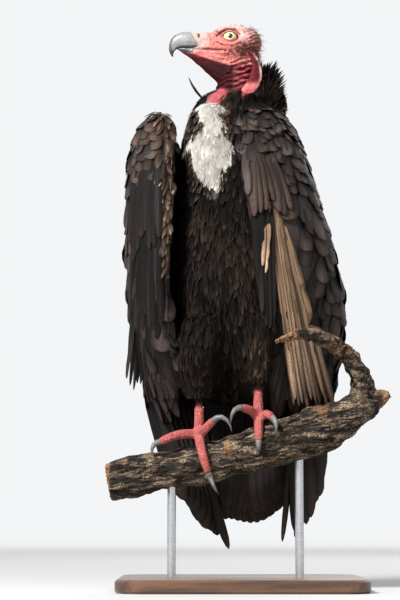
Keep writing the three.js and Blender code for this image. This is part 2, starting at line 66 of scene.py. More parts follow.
MM = 0.001
BASE_MIDDLE = (12.0, 24.0)  # where the board's middle lies in the bird's own millimetres
HEAD_AT = np.array([-2.7, -25.0, 769.0])  # midway between the eyes
EYE_OUT = 13.6  # from there to the middle of each eye
EYE_RADIUS = 11.0
ROUND = 6.2832  # one full wave of a sine node
TWIST = 0.13  # how far a vane is usually turned about its shaft, in radians
SIDES = {"left": 1, "right": -1}
DOWNWARD = np.array([0, 0, -1.0])

LAPPETS = ("lappet_left", "lappet_right")
BARE = ("head", "throat", "neck", "cere", *LAPPETS)
BREAST = ("crop", "trunk")
LEGS = ("foot_left", "foot_right", "shank_left", "shank_right")
WINGS = tuple(f"wing_{side}_{part}" for side in SIDES for part in ("wrist", "coverts", "flight"))
THIGHS = ("thigh_left", "thigh_right")
COAT_DEPTH = {"trunk": 6.0, "crop": 8.0, "ruff": 3.0} | dict.fromkeys(WINGS, 5.0) | dict.fromkeys(THIGHS, 7.0)
FLESH = BARE + LEGS + tuple(COAT_DEPTH)
CLAWS = tuple(f"claw_{side}_{toe}" for side in SIDES for toe in ("middle", "outer", "inner", "hind"))


def origin() -> Array:
    """The bird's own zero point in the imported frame, in millimetres."""
    low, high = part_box("stand_base")
    middle = (np.array(low) + np.array(high)) / 2 / MM
    return np.array([middle[0] - BASE_MIDDLE[0], middle[1] - BASE_MIDDLE[1], 0.0])


ORIGIN = origin()


def to_frame(places: Array) -> Array:
    """Places in the bird's own millimetres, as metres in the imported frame."""
    return (np.asarray(places, float) + ORIGIN) * MM


def from_frame(places: Array) -> Array:
    """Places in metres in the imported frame, as the bird's own millimetres."""
    return np.asarray(places, float) / MM - ORIGIN


def unit(vectors: Array) -> Array:
    """The same directions, each one long."""
    return vectors / np.maximum(np.linalg.norm(vectors, axis=-1, keepdims=True), 1e-9)


def dot(a: Array, b: Array) -> Array:
    """The dot product of each pair of rows, kept as a column."""
    return (a * b).sum(-1, keepdims=True)


def ease(value: Array, low: float, high: float) -> Array:
    """A smooth step from 0 at low to 1 at high."""
    share = np.clip((np.asarray(value, float) - low) / (high - low), 0, 1)
    return share * share * (3 - 2 * share)


def mixed(a: Array, b: Array, share: Array) -> Array:
    """Colours a turned into b by share."""
    share = np.asarray(share)[..., None]
    return np.asarray(a) * (1 - share) + np.asarray(b) * share


class Grain:
    """Smooth noise in space that is the same in every run."""

    def __init__(self, seed: int) -> None:
        """Draws the noise's lattice.

        Args:
            seed: which noise it is.
        """
        drawn = np.random.default_rng(seed)
        self.order = np.tile(drawn.permutation(256), 3)
        self.slopes = unit(drawn.normal(size=(256, 3)))

    def at(self, places: Array, size: float | Row) -> Array:
        """Reads the noise.

        Args:
            places: where, one row each.
            size: how long one ripple is, or one length for each axis.

        Returns:
            A number from about -1 to 1 for each place.
        """
        scaled = np.asarray(places, float) / np.asarray(size, float)
        base = np.floor(scaled)
        part = scaled - base
        fade = part**3 * (part * (part * 6 - 15) + 10)
        total = np.zeros(len(scaled))
        for corner in product((0, 1), repeat=3):
            cell = (base + corner).astype(int) & 255
            slope = self.slopes[self.order[self.order[self.order[cell[:, 0]] + cell[:, 1]] + cell[:, 2]]]
            weight = np.where(np.array(corner) == 1, fade, 1 - fade).prod(1)
            total += weight * (slope * (part - corner)).sum(1)
        return total * 1.7


# Shader nodes.


def math_sign(operation: str, swapped: bool = False) -> Callable[[Number, Number | float], Number]:
    """The method that works one Math node over a number and another, or over the two swapped."""
    return lambda own, other: own.shader.math(operation, *((other, own) if swapped else (own, other)))


class Number:
    """A number socket that Python's own signs work on."""

    __add__, __radd__ = math_sign("ADD"), math_sign("ADD", True)
    __sub__, __rsub__ = math_sign("SUBTRACT"), math_sign("SUBTRACT", True)
    __mul__, __rmul__ = math_sign("MULTIPLY"), math_sign("MULTIPLY", True)

    def __init__(self, shader: Shader, socket: Socket) -> None:
        """Keeps the socket and the shader that it belongs to."""
        self.shader = shader
        self.socket = socket


Feed = Number | Socket | float | Row


class Nodes:
    """A node tree, built up by short calls."""

    def __init__(self, owner: bpy.types.Material | bpy.types.World) -> None:
        """Gives a material or the world an empty tree."""
        owner.use_nodes = True
        self.tree = owner.node_tree
        self.tree.nodes.clear()

    def add(
        self, kind: str, settings: Mapping[str, object] | None = None,
        values: Mapping[str | int, Feed] | None = None,
    ) -> bpy.types.Node:
        """Adds a node.

        Args:
            kind: the node's type.
            settings: its own settings.
            values: what its inputs are given, by name or number.

        Returns:
            The node.
        """
        node = self.tree.nodes.new(kind)
        for name, value in (settings or {}).items():
            setattr(node, name, value)
        for name, value in (values or {}).items():
            self.feed(node.inputs[name], value)
        return node

    def feed(self, socket: Socket, value: Feed) -> None:
        """Links a socket into an input, or sets the input to a constant."""
        if isinstance(value, Number):
            self.tree.links.new(value.socket, socket)
        elif isinstance(value, Socket):
            self.tree.links.new(value, socket)
        elif isinstance(value, (tuple, list)) and socket.type == "RGBA" and len(value) == 3:
            socket.default_value = (*value, 1.0)
        else:
            socket.default_value = value


class Shader(Nodes):
    """One material's node tree, with its main shader."""

    def __init__(self, name: str) -> None:
        """Makes a material with an empty tree and its main shader.

        Args:
            name: the material's name.
        """
        self.material = bpy.data.materials.new(name)
        super().__init__(self.material)
        self.main = self.add("ShaderNodeBsdfPrincipled")
        self.add("ShaderNodeOutputMaterial", None, {0: self.main.outputs[0]})

    def set(self, **values: Feed) -> None:
        """Gives the main shader's inputs their values; an underscore in a name stands for a space."""
        for name, value in values.items():
            self.feed(self.main.inputs[name.replace("_", " ")], value)

    def math(self, operation: str, *values: Number | float) -> Number:
        """One Math node over the values."""
        node = self.add("ShaderNodeMath", {"operation": operation}, dict(enumerate(values)))
        return Number(self, node.outputs[0])

    def place(self, scale: float | Row = 1.0) -> Socket:
        """Object coordinates, in metres, stretched by scale.

        Args:
            scale: one factor, or one for each axis.

        Returns:
            The coordinates.
        """
        coordinates = self.add("ShaderNodeTexCoord").outputs["Object"]
        stretch = (scale,) * 3 if isinstance(scale, (int, float)) else tuple(scale)
        node = self.add("ShaderNodeMapping", None, {"Vector": coordinates, "Scale": stretch})
        return node.outputs[0]

    def noise(
        self, where: Socket, scale: float, detail: float = 3.0, rough: float = 0.55
    ) -> Number:
        """Noise from 0 to 1 at the given places."""
        values = {"Vector": where, "Scale": scale, "Detail": detail, "Roughness": rough}
        return Number(self, self.add("ShaderNodeTexNoise", None, values).outputs["Fac"])

    def cells(self, where: Socket, scale: float, feature: str = "DISTANCE_TO_EDGE") -> Number:
        """How far each place lies from the edge of its cell, or from its middle."""
        node = self.add("ShaderNodeTexVoronoi", {"feature": feature}, {"Vector": where, "Scale": scale})
        return Number(self, node.outputs["Distance"])

    def ramp(self, value: Number, low: float, high: float, start: float = 0.0, end: float = 1.0) -> Number:
        """The value eased from start at low to end at high."""
        values = {"Value": value, "From Min": low, "From Max": high, "To Min": start, "To Max": end}
        node = self.add("ShaderNodeMapRange", {"interpolation_type": "SMOOTHSTEP"}, values)
        return Number(self, node.outputs[0])

    def mix(self, share: Feed, a: Feed, b: Feed, blend: str = "MIX") -> Socket:
        """Colour a turned into b by share.

        Args:
            share: how far, from 0 to 1.
            a: the first colour.
            b: the second colour.
            blend: how they mix.

        Returns:
            The mixed colour.
        """
        node = self.add("ShaderNodeMix", {"data_type": "RGBA", "blend_type": blend}, {0: share})
        self.feed(node.inputs[6], a)
        self.feed(node.inputs[7], b)
        return node.outputs[2]

    def attribute(self, name: str) -> Socket:
        """One of the mesh's own attributes, as a vector."""
        return self.add("ShaderNodeAttribute", {"attribute_name": name}).outputs["Vector"]

    def tone(self) -> Socket:
        """The colour that the mesh carries."""
        return self.add("ShaderNodeAttribute", {"attribute_name": "tone"}).outputs["Color"]

    def parts(self, vector: Socket) -> tuple[Number, Number, Number]:
        """The three numbers of a vector."""
        node = self.add("ShaderNodeSeparateXYZ", None, {0: vector})
        return tuple(Number(self, socket) for socket in node.outputs)

    def softened(self, share: float) -> Socket:
        """The surface's normal, turned by share towards that of the form below it.

        Args:
            share: how far, from 0 to 1.

        Returns:
            The turned normal.
        """
        own = self.add("ShaderNodeNewGeometry").outputs["Normal"]
        values = {0: share, 4: own, 5: self.attribute("lie")}
        blend = self.add("ShaderNodeMix", {"data_type": "VECTOR"}, values)
        return self.add("ShaderNodeVectorMath", {"operation": "NORMALIZE"}, {0: blend.outputs[1]}).outputs[0]

    def bump(self, height: Number, depth: float, strength: float = 1.0, base: Feed | None = None) -> None:
        """Raises the surface by height times depth, in metres, over a base normal if one is given."""
        values = {"Height": height, "Distance": depth, "Strength": strength}
        if base is not None:
            values["Normal"] = base
        self.feed(self.main.inputs["Normal"], self.add("ShaderNodeBump", None, values).outputs[0])


@dataclass(frozen=True)
class Finish:
    """A look that a piece wears."""

    name: str

    def make(self) -> bpy.types.Material:
        """Builds the material."""
        shader = Shader(self.name)
        self.fill(shader)
        return shader.material

    def fill(self, shader: Shader) -> None:
        """Adds the look's nodes."""
        raise NotImplementedError


@dataclass(frozen=True)
class PlumageFinish(Finish):
    """Vanes with a shaft, fine barbs and a worn edge, over the tone that each vane carries, with a painted
    highlight down the middle and painted shade at the root and along the long edges.
    """

    roughness: float = 0.56
    edge: Colour = (0.075, 0.05, 0.036)  # what the worn rim fades to
    edge_share: float = 0.35
    painted_edge_shade: float = 0.0  # how dark the painted shade along the long edges is, where the next vane overlaps
    barbs: float = 46.0  # barbs along one vane
    soft: float = 0.0  # how far its shading follows the form below
    gloss: float = 0.14

    def fill(self, shader: Shader) -> None:
        """Adds the look's nodes."""
        across, along, tint = shader.parts(shader.attribute("vane"))
        tone = shader.tone()
        off = shader.math("ABSOLUTE", across)
        barb = shader.math("SINE", (along * self.barbs - off * 7.0 + tint * 30.0) * ROUND) * 0.5 + 0.5
        mottle = shader.noise(shader.place(), 420.0, 4.0)
        rim = shader.math("MAXIMUM", shader.ramp(off, 0.76, 1.0), shader.ramp(along, 0.86, 1.0))
        worn = rim * shader.ramp(mottle, 0.35, 0.65) * self.edge_share
        # Painted highlight down the middle towards the tip, and painted shade at the root and edges, where
        # other vanes cover this one.
        gloss = shader.ramp(along, 0.3, 0.85) * shader.ramp(off, 0.95, 0.2)
        lit = shader.mix(1.0 - gloss, tone, (0.45, 0.42, 0.4), "MULTIPLY")
        lit = shader.mix(gloss * shader.ramp(mottle, 0.42, 0.6), lit, (1.7, 1.6, 1.6), "MULTIPLY")
        lit = shader.mix(barb * 0.14, lit, (0.0, 0.0, 0.0))
        lit = shader.mix(shader.ramp(off, 0.1, 0.0) * 0.4, lit, (0.012, 0.009, 0.008))
        lit = shader.mix(worn, lit, self.edge)
        # Painted shade along the long edges, where the next vane overlaps.
        lit = shader.mix(shader.ramp(off, 0.72, 1.0) * self.painted_edge_shade, lit, (0.004, 0.003, 0.003))
        shader.set(
            Base_Color=lit, Roughness=mottle * 0.3 + (self.roughness - 0.15),
            Specular_IOR_Level=self.gloss,
        )
        base = shader.softened(self.soft) if self.soft else None
        shader.bump(barb * 0.6 + shader.ramp(off, 0.12, 0.0) + mottle * 0.5, 0.0005, 0.6, base)


@dataclass(frozen=True)
class DownFinish(Finish):
    """Soft pale filaments that let a little light through their tips, with a faint painted glow that lifts
    their shade.
    """

    name: str = "down"
    roughness: float = 0.9

    def fill(self, shader: Shader) -> None:
        """Adds the look's nodes."""
        across, along, tint = shader.parts(shader.attribute("vane"))
        tone = shader.tone()
        strand = shader.noise(shader.place(), 900.0, 3.0)
        soft = shader.mix(shader.ramp(strand, 0.3, 0.8) * 0.1, tone, (0.8, 0.74, 0.64))
        soft = shader.mix(shader.ramp(along, 0.3, 0.0) * 0.1, soft, (0.75, 0.68, 0.58))
        # The emission is a painted glow that lifts the down out of its own shade.
        shader.set(
            Base_Color=soft, Roughness=self.roughness, Specular_IOR_Level=0.1, Subsurface_Weight=0.7,
            Subsurface_Radius=(1.0, 0.95, 0.88), Subsurface_Scale=0.008, Emission_Color=soft,
            Emission_Strength=0.17,
        )
        billow = shader.noise(shader.place(), 55.0, 2.0)
        shader.bump(billow + strand * 0.03 + tint * 0.02 + across * 0.01, 0.008, 0.6, shader.softened(1.0))


@dataclass(frozen=True)
class SkinFinish(Finish):
    """Bare skin with pores, creases and scales, over the tone that the skin carries, with painted shade in
    its creases.
    """

    name: str = "bare_skin"

    def fill(self, shader: Shader) -> None:
        """Adds the look's nodes."""
        where = shader.place()
        tone = shader.tone()
        scaly, crease, bare = shader.parts(shader.attribute("hide"))
        fine = shader.noise(where, 620.0, 4.0, 0.6)
        broad = shader.noise(where, 120.0, 3.0)
        pebbles = shader.cells(where, 420.0)
        plates = shader.cells(where, 230.0)
        flush = shader.mix(shader.ramp(broad, 0.45, 0.72) * 0.5 * bare, tone, (0.82, 0.4, 0.42), "MULTIPLY")
        flush = shader.mix(shader.ramp(fine, 0.45, 0.7) * 0.6 * bare, flush, (1.12, 1.9, 1.9), "MULTIPLY")
        # Painted shade in the creases, nostrils and lid rims; the dark gaps between the leg's scales are
        # their own colour.
        deep = crease * 0.9 + shader.ramp(plates, 0.06, 0.0) * scaly * 0.6
        flush = shader.mix(deep, flush, (0.045, 0.003, 0.005))
        shader.set(
            Base_Color=flush, Roughness=fine * 0.3 + 0.36, Subsurface_Weight=0.12,
            Subsurface_Radius=(1.0, 0.3, 0.2), Subsurface_Scale=0.002, Specular_IOR_Level=0.1,
        )
        grain = shader.ramp(pebbles, 0.0, 0.2) * (1.0 - scaly) * 0.55
        grain = grain + shader.ramp(plates, 0.0, 0.16) * scaly * 1.5
        shader.bump(grain + fine * 0.5 - crease * 0.6, 0.0007, 0.75)


@dataclass(frozen=True)
class HornFinish(Finish):
    """Layered grey horn, paler along its ridge and dark at the edge."""

    pale: Colour = (0.215, 0.212, 0.21)
    dark: Colour = (0.013, 0.013, 0.016)
    roughness: float = 0.42

    def fill(self, shader: Shader) -> None:
        """Adds the look's nodes."""
        edge = shader.parts(shader.attribute("edge"))[0]
        layers = shader.noise(shader.place((1.0, 1.0, 0.35)), 260.0, 5.0, 0.6)
        fine = shader.noise(shader.place(), 900.0, 3.0)
        grey = shader.mix(shader.ramp(layers, 0.3, 0.72), self.pale, tuple(c * 0.68 for c in self.pale))
        grey = shader.mix(edge, grey, self.dark)
        shader.set(
            Base_Color=grey, Roughness=fine * 0.2 + (self.roughness - 0.08), Coat_Weight=0.08,
            Coat_Roughness=0.3,
        )
        shader.bump(layers * 0.7 + fine * 0.3, 0.0004, 0.5)


@dataclass(frozen=True)
class EyeFinish(Finish):
    """A pale yellow iris with a black pupil and a dark ring, under a wet cornea."""

    middle: Array
    iris: Colour = (0.62, 0.52, 0.2)
    inner: Colour = (0.64, 0.58, 0.36)
    pupil: float = 3.5
    ring: float = 9.4

    def fill(self, shader: Shader) -> None:
        """Adds the look's nodes."""
        x, _, z = shader.parts(shader.place(1 / MM))
        centre = self.middle + ORIGIN
        across, up = x - float(centre[0]), z - float(centre[2])
        out = shader.math("SQRT", across * across + up * up)
        turn = shader.math("ARCTAN2", across, up)
        rays = shader.math("SINE", turn * 34.0 + shader.noise(shader.place(), 500.0) * 9.0) * 0.5 + 0.5
        colour = shader.mix(shader.ramp(out, 4.0, 7.4), self.inner, self.iris)
        colour = shader.mix(rays * 0.22, colour, (0.55, 0.4, 0.12))
        colour = shader.mix(shader.ramp(out, self.ring - 0.9, self.ring), colour, (0.03, 0.015, 0.012))
        hole = shader.ramp(out, self.pupil + 0.35, self.pupil - 0.25)
        colour = shader.mix(hole, colour, (0.003, 0.003, 0.003))
        shader.set(Base_Color=colour, Roughness=0.12, Coat_Weight=1.0, Coat_Roughness=0.02)
        shader.bump(rays, 0.0001, 0.3)


@dataclass(frozen=True)
class BarkFinish(Finish):
    """Dry cracked bark with pale tan streaks that are partly weathered and partly painted highlight, painted
    shade in its cracks, and orange-tan wood where it is broken.
    """

    name: str = "bark"

    def fill(self, shader: Shader) -> None:
        """Adds the look's nodes."""
        crack, torn, shade = shader.parts(shader.attribute("bark"))
        long = shader.noise(shader.place((0.16, 1.0, 0.9)), 150.0, 5.0, 0.62)
        fine = shader.noise(shader.place(), 520.0, 5.0, 0.65)
        bark = shader.mix(shader.ramp(long, 0.4, 0.62), (0.01, 0.0075, 0.0055), (0.1, 0.072, 0.05))
        # Pale tan streaks: partly weathered bark, partly painted highlight.
        ridge = shader.ramp(fine, 0.47, 0.6) * shader.ramp(long, 0.46, 0.6)
        bark = shader.mix(ridge, bark, (0.42, 0.3, 0.19))
        bark = shader.mix(shader.ramp(shade, 0.7, 0.25) * 0.75, bark, (0.3, 0.28, 0.27), "MULTIPLY")
        wood = shader.mix(shader.ramp(fine, 0.4, 0.62), (0.1, 0.028, 0.009), (0.36, 0.215, 0.11))
        bark = shader.mix(torn, bark, wood)
        # Painted shade: the cracks are darkened to near black.
        bark = shader.mix(crack, bark, (0.012, 0.009, 0.007))
        shader.set(Base_Color=bark, Roughness=0.9, Specular_IOR_Level=0.25)
        shader.bump(long * 0.8 + fine * 0.6 - crack, 0.0016, 0.9)


@dataclass(frozen=True)
class BoardFinish(Finish):
    """A stained board with long grain under a satin wax."""

    name: str = "stained_board"

    def fill(self, shader: Shader) -> None:
        """Adds the look's nodes."""
        grain = shader.noise(shader.place((0.05, 1.0, 0.6)), 95.0, 6.0, 0.62)
        pores = shader.noise(shader.place((0.03, 1.0, 1.0)), 520.0, 3.0)
        wood = shader.mix(shader.ramp(grain, 0.32, 0.68), (0.035, 0.016, 0.008), (0.135, 0.062, 0.028))
        wood = shader.mix(shader.ramp(pores, 0.58, 0.72) * 0.6, wood, (0.012, 0.006, 0.004))
        shader.set(Base_Color=wood, Roughness=pores * 0.2 + 0.3, Coat_Weight=0.25, Coat_Roughness=0.3)
        shader.bump(grain * 0.5 + pores * 0.5, 0.0003, 0.5)


@dataclass(frozen=True)
class SteelFinish(Finish):
    """A drawn steel rod with fine marks round it."""

    name: str = "drawn_steel"

    def fill(self, shader: Shader) -> None:
        """Adds the look's nodes."""
        marks = shader.noise(shader.place((1.0, 1.0, 14.0)), 160.0, 4.0)
        steel = shader.mix(shader.ramp(marks, 0.3, 0.7), (0.42, 0.43, 0.45), (0.58, 0.59, 0.6))
        shader.set(Base_Color=steel, Roughness=marks * 0.16 + 0.24, Metallic=1.0)
        shader.bump(marks, 0.0001, 0.3)


# Working on meshes.


def only(*objects: Piece) -> None:
    """Selects just these objects, with the first one active."""
    bpy.ops.object.select_all(action="DESELECT")
    for piece in objects:
        piece.select_set(True)
    bpy.context.view_layer.objects.active = objects[0]


def applied(piece: Piece, kind: str, **settings: object) -> None:
    """Adds a modifier and applies it.

    Args:
        piece: what it works on.
        kind: the modifier's type.
        settings: its settings.
    """
    only(piece)
    modifier = piece.modifiers.new(kind.title(), kind)
    for name, value in settings.items():
        setattr(modifier, name, value)
    bpy.ops.object.modifier_apply(modifier=modifier.name)


def on_all(piece: Piece, operator: Callable[..., object], **settings: float) -> None:
    """Runs an operator of edit mode on the whole mesh.

    Args:
        piece: the object.
        operator: what is run.
        settings: its settings.
    """
    only(piece)
    bpy.ops.object.mode_set(mode="EDIT")
    bpy.ops.mesh.select_all(action="SELECT")
    operator(**settings)
    bpy.ops.object.mode_set(mode="OBJECT")


def linked(name: str, data: bpy.types.ID) -> Piece:
    """A new object in the scene."""
    piece = bpy.data.objects.new(name, data)
    bpy.context.scene.collection.objects.link(piece)
    return piece


def read(items: bpy.types.bpy_prop_collection, name: str, width: int, kind: type = float) -> Array:
    """A row of numbers from each of a mesh's items."""
    flat = np.zeros(len(items) * width, kind)
    items.foreach_get(name, flat)
    return flat.reshape(-1, width)


def places_of(piece: Piece) -> Array:
    """The mesh's points, in the bird's own millimetres."""
    return from_frame(read(piece.data.vertices, "co", 3))


def normals_of(piece: Piece) -> Array:
    """The mesh's smooth normals, one for each point."""
    return read(piece.data.vertex_normals, "vector", 3)


def move_to(piece: Piece, places: Array) -> None:
    """Puts the mesh's points at these places, given in the bird's own millimetres."""
    piece.data.vertices.foreach_set("co", to_frame(places).ravel())
    piece.data.update()


def edges_of(piece: Piece) -> Array:
    """The two points of each edge."""
    return read(piece.data.edges, "vertices", 2, int)


def relaxed(values: Array, edges: Array, rounds: int) -> Array:
    """Values at the mesh's points, smoothed along its edges.

    Args:
        values: one number or row for each point.
        edges: the two points of each edge.
        rounds: how often each point takes its neighbours' mean.

    Returns:
        The smoothed values.
    """
    columns = values.reshape(len(values), -1).astype(float)
    count = np.bincount(edges.ravel(), minlength=len(values))[:, None]
    for _ in range(rounds):
        total = np.stack([
            sum(np.bincount(edges[:, k], column[edges[:, 1 - k]], len(values)) for k in (0, 1))
            for column in columns.T
        ], 1)
        columns = columns * 0.5 + total / np.maximum(count, 1) * 0.5
    return columns.reshape(values.shape)


def paint(piece: Piece, name: str, values: Array) -> None:
    """Gives each point of the mesh its own vector or colour.

    Args:
        piece: the object.
        name: the attribute's name.
        values: three numbers for each point.
    """
    if name == "tone":
        layer = piece.data.attributes.new(name, "FLOAT_COLOR", "POINT")
        layer.data.foreach_set("color", column_stack([values, np.ones(len(values))]).ravel())
    else:
        layer = piece.data.attributes.new(name, "FLOAT_VECTOR", "POINT")
        layer.data.foreach_set("vector", np.asarray(values, float).ravel())


def settle(
    piece: Piece, finish: Finish, replaced: Iterable[str] = ()
) -> Piece:
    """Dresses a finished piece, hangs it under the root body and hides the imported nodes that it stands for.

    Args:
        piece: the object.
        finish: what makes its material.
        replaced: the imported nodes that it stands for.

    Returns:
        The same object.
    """
    piece.data.materials.clear()
    piece.data.materials.append(finish.make())
    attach(piece, "root")
    replaced = tuple(replaced)
    if replaced:
        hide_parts(*replaced)
    LOG.info("%s: %d faces", piece.name, len(piece.data.polygons))
    return piece


def node_copy(node: str, swell: float = 0.0, keep: float = 1.0) -> Piece:
    """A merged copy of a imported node.

    Args:
        node: the node's name.
        swell: how far its skin is pushed out, in millimetres.
        keep: what share of its size is kept about its own middle.

    Returns:
        The copy.
    """
    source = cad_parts[node]
    piece = linked(f"{node}_copy", source.data.copy())
    on_all(piece, bpy.ops.mesh.remove_doubles, threshold=0.02 * MM)
    places = places_of(piece)
    middle = (places.min(0) + places.max(0)) / 2
    move_to(piece, middle + (places - middle) * keep + normals_of(piece) * swell)
    return piece


def welded(name: str, copies: Sequence[Piece], voxel: float, rounds: int) -> Piece:
    """Copies joined into one closed smooth surface.

    Args:
        name: the new object's name.
        copies: what is joined; they are used up.
        voxel: the size of its facets, in millimetres.
        rounds: how often it is smoothed.

    Returns:
        The joined object.
    """
    only(*copies)
    if len(copies) > 1:
        bpy.ops.object.join()
    piece = bpy.context.view_layer.objects.active
    piece.name = name
    piece.data.name = name
    applied(piece, "REMESH", mode="VOXEL", voxel_size=voxel * MM, adaptivity=0.0, use_smooth_shade=True)
    if rounds:
        applied(piece, "SMOOTH", factor=0.5, iterations=rounds)
    return piece


# The bird's form.


class Form:
    """The outer form of all the flesh, which the coat is laid on and which unwraps for its patches."""

    VOXEL = 4.0
    SWELL = 1.3

    def __init__(self) -> None:
        """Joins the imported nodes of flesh, names each face after its node and unwraps the whole."""
        copies = [node_copy(name, self.SWELL) for name in FLESH]
        self.names, self.nodes = self._nodes(copies)
        piece = welded("form", copies, self.VOXEL, 3)
        move_to(piece, places_of(piece) - normals_of(piece) * self.SWELL)
        on_all(piece, bpy.ops.uv.smart_project, angle_limit=math.radians(66), island_margin=0.002)
        self.piece = piece
        self.places = places_of(piece)
        self.normals = normals_of(piece)
        self.faces = read(piece.data.polygons, "vertices", 4, int)
        self.unwrap = read(piece.data.uv_layers.active.data, "uv", 2).reshape(-1, 4, 2)
        self.tree = BVHTree.FromPolygons(self.places.tolist(), self.faces.tolist())
        self.labels = self.label(self.places[self.faces].mean(1))
        LOG.info("form: %d faces", len(self.faces))

    def _nodes(self, copies: Sequence[Piece]) -> tuple[list[str], BVHTree]:
        """A tree over the nodes' own faces, and each face's node.

        Args:
            copies: the merged nodes, in the order of FLESH.

        Returns:
            The nodes' names, face by face, and the tree.
        """
        points: list[list[float]] = []
        faces: list[list[int]] = []
        names: list[str] = []
        for name, piece in zip(FLESH, copies):
            first = len(points)
            points += places_of(piece).tolist()
            own = [[first + k for k in polygon.vertices] for polygon in piece.data.polygons]
            faces += own
            names += [name] * len(own)
        return names, BVHTree.FromPolygons(points, faces)

    def label(self, places: Array) -> Array:
        """The name of the node nearest to each place."""
        return np.array([self.names[self.nodes.find_nearest(place)[2]] for place in places.tolist()])

    def nearest(self, places: Array) -> tuple[Array, Array, Array]:
        """The nearest spots on the form.

        Args:
            places: where, one row each.

        Returns:
            The spots, the smooth normals there and the faces.
        """
        found = [self.tree.find_nearest(place) for place in places.tolist()]
        spots = np.array([hit[0] for hit in found])
        faces = np.array([hit[2] for hit in found])
        weights = self._weights(spots, faces)
        normals = unit((self.normals[self.faces[faces]] * weights[..., None]).sum(1))
        return spots, normals, faces

    def _weights(self, spots: Array, faces: Array) -> Array:
        """How near each spot lies to the four corners of its face."""
        gaps = np.linalg.norm(self.places[self.faces[faces]] - spots[:, None], axis=2)
        weights = 1 / (gaps + 0.05) ** 2
        return weights / weights.sum(1, keepdims=True)

    def patches(self, roots: Array) -> Array:
        """Where each root lies on the unwrap."""
        spots, _, faces = self.nearest(roots)
        return (self.unwrap[faces] * self._weights(spots, faces)[..., None]).sum(1)

    def scatter(
        self, names: Iterable[str], spacing: float, seed: int,
        keep: Callable[[Array, Array], Array] | None = None,
    ) -> tuple[Array, Array]:
        """Roots spread evenly over the faces of some nodes.

        Args:
            names: the nodes.
            spacing: the least distance between two roots, in millimetres.
            seed: which spread it is.
            keep: from places and normals, which roots stay.

        Returns:
            The roots and the normals there.
        """
        drawn = np.random.default_rng(seed)
        chosen = np.flatnonzero(np.isin(self.labels, list(names)))
        corners = self.places[self.faces[chosen]]
        across, up = corners[:, 2] - corners[:, 0], corners[:, 3] - corners[:, 1]
        area = np.linalg.norm(np.cross(across, up), axis=1) / 2
        count = int(area.sum() / spacing**2 * 3.2)
        picks = drawn.choice(len(chosen), count, p=area / area.sum())
        u, v = drawn.random((2, count, 1))
        quad = corners[picks]
        low, high = quad[:, 0] * (1 - u) + quad[:, 1] * u, quad[:, 3] * (1 - u) + quad[:, 2] * u
        roots = low * (1 - v) + high * v
        normals = unit(self.normals[self.faces[chosen[picks]]].mean(1))
        if keep is not None:
            stay = keep(roots, normals)
            roots, normals = roots[stay], normals[stay]
        return thinned(roots, normals, spacing)

    def lay(
        self, roots: Array, ways: Array, lengths: Array, rows: int, sink: float, lift: Array | float,
        hug: float = 1.0, loose: float = 1.0,
    ) -> tuple[Array, Array]:
        """Leads each vane's middle line over the form.

        Args:
            roots: where the vanes start.
            ways: the directions that they set out in.
            lengths: how long they are.
            rows: how many steps each one takes.
            sink: how deep below the form they start.
            lift: how far above it they end.
            hug: how closely the far end follows the form, from 0 to 1.
            loose: past which share of its length a vane runs on straight.

        Returns:
            The middle lines and the normals along them.
        """
        lines = np.zeros((len(roots), rows + 1, 3))
        facing = np.zeros_like(lines)
        at = roots.copy()
        way = unit(ways)
        lift = np.broadcast_to(np.asarray(lift, float), (len(roots),))
        for row in range(rows + 1):
            share = row / rows
            hold = 0.0 if share > loose else 1 - (1 - hug) * share**0.8
            spots, normals, _ = self.nearest(at)
            if row:
                normals = unit(facing[:, row - 1] * 0.5 + normals * 0.5) if hold else facing[:, row - 1]
            at = at * (1 - hold) + spots * hold
            off = -sink + (lift + sink) * share**0.75
            lines[:, row] = at + normals * off[:, None]
            facing[:, row] = normals
            way = unit(way - normals * dot(way, normals) * hold)
            at = at + way * (lengths / rows)[:, None]
        return lines, facing

    def remove(self) -> None:
        """Takes the form away once everything lies on it."""
        bpy.data.objects.remove(self.piece)


def thinned(roots: Array, normals: Array, spacing: float) -> tuple[Array, Array]:
    """Drops each root that lies too near to one before it.

    Args:
        roots: the places.
        normals: the normals that go with them.
        spacing: the least distance, in millimetres.

    Returns:
        The roots and normals that stay.
    """
    taken: dict[tuple[int, ...], list[Array]] = {}
    stay: list[int] = []
    near = np.array(list(product((-1, 0, 1), repeat=3)))
    cells = np.floor(roots / spacing).astype(int)
    for k, (root, cell) in enumerate(zip(roots, cells)):
        others = [other for key in (cell + near).tolist() for other in taken.get(tuple(key), ())]
        if all(((root - other) ** 2).sum() > spacing**2 for other in others):
            taken.setdefault(tuple(cell), []).append(root)
            stay.append(k)
    return roots[stay], normals[stay]


# Markings.


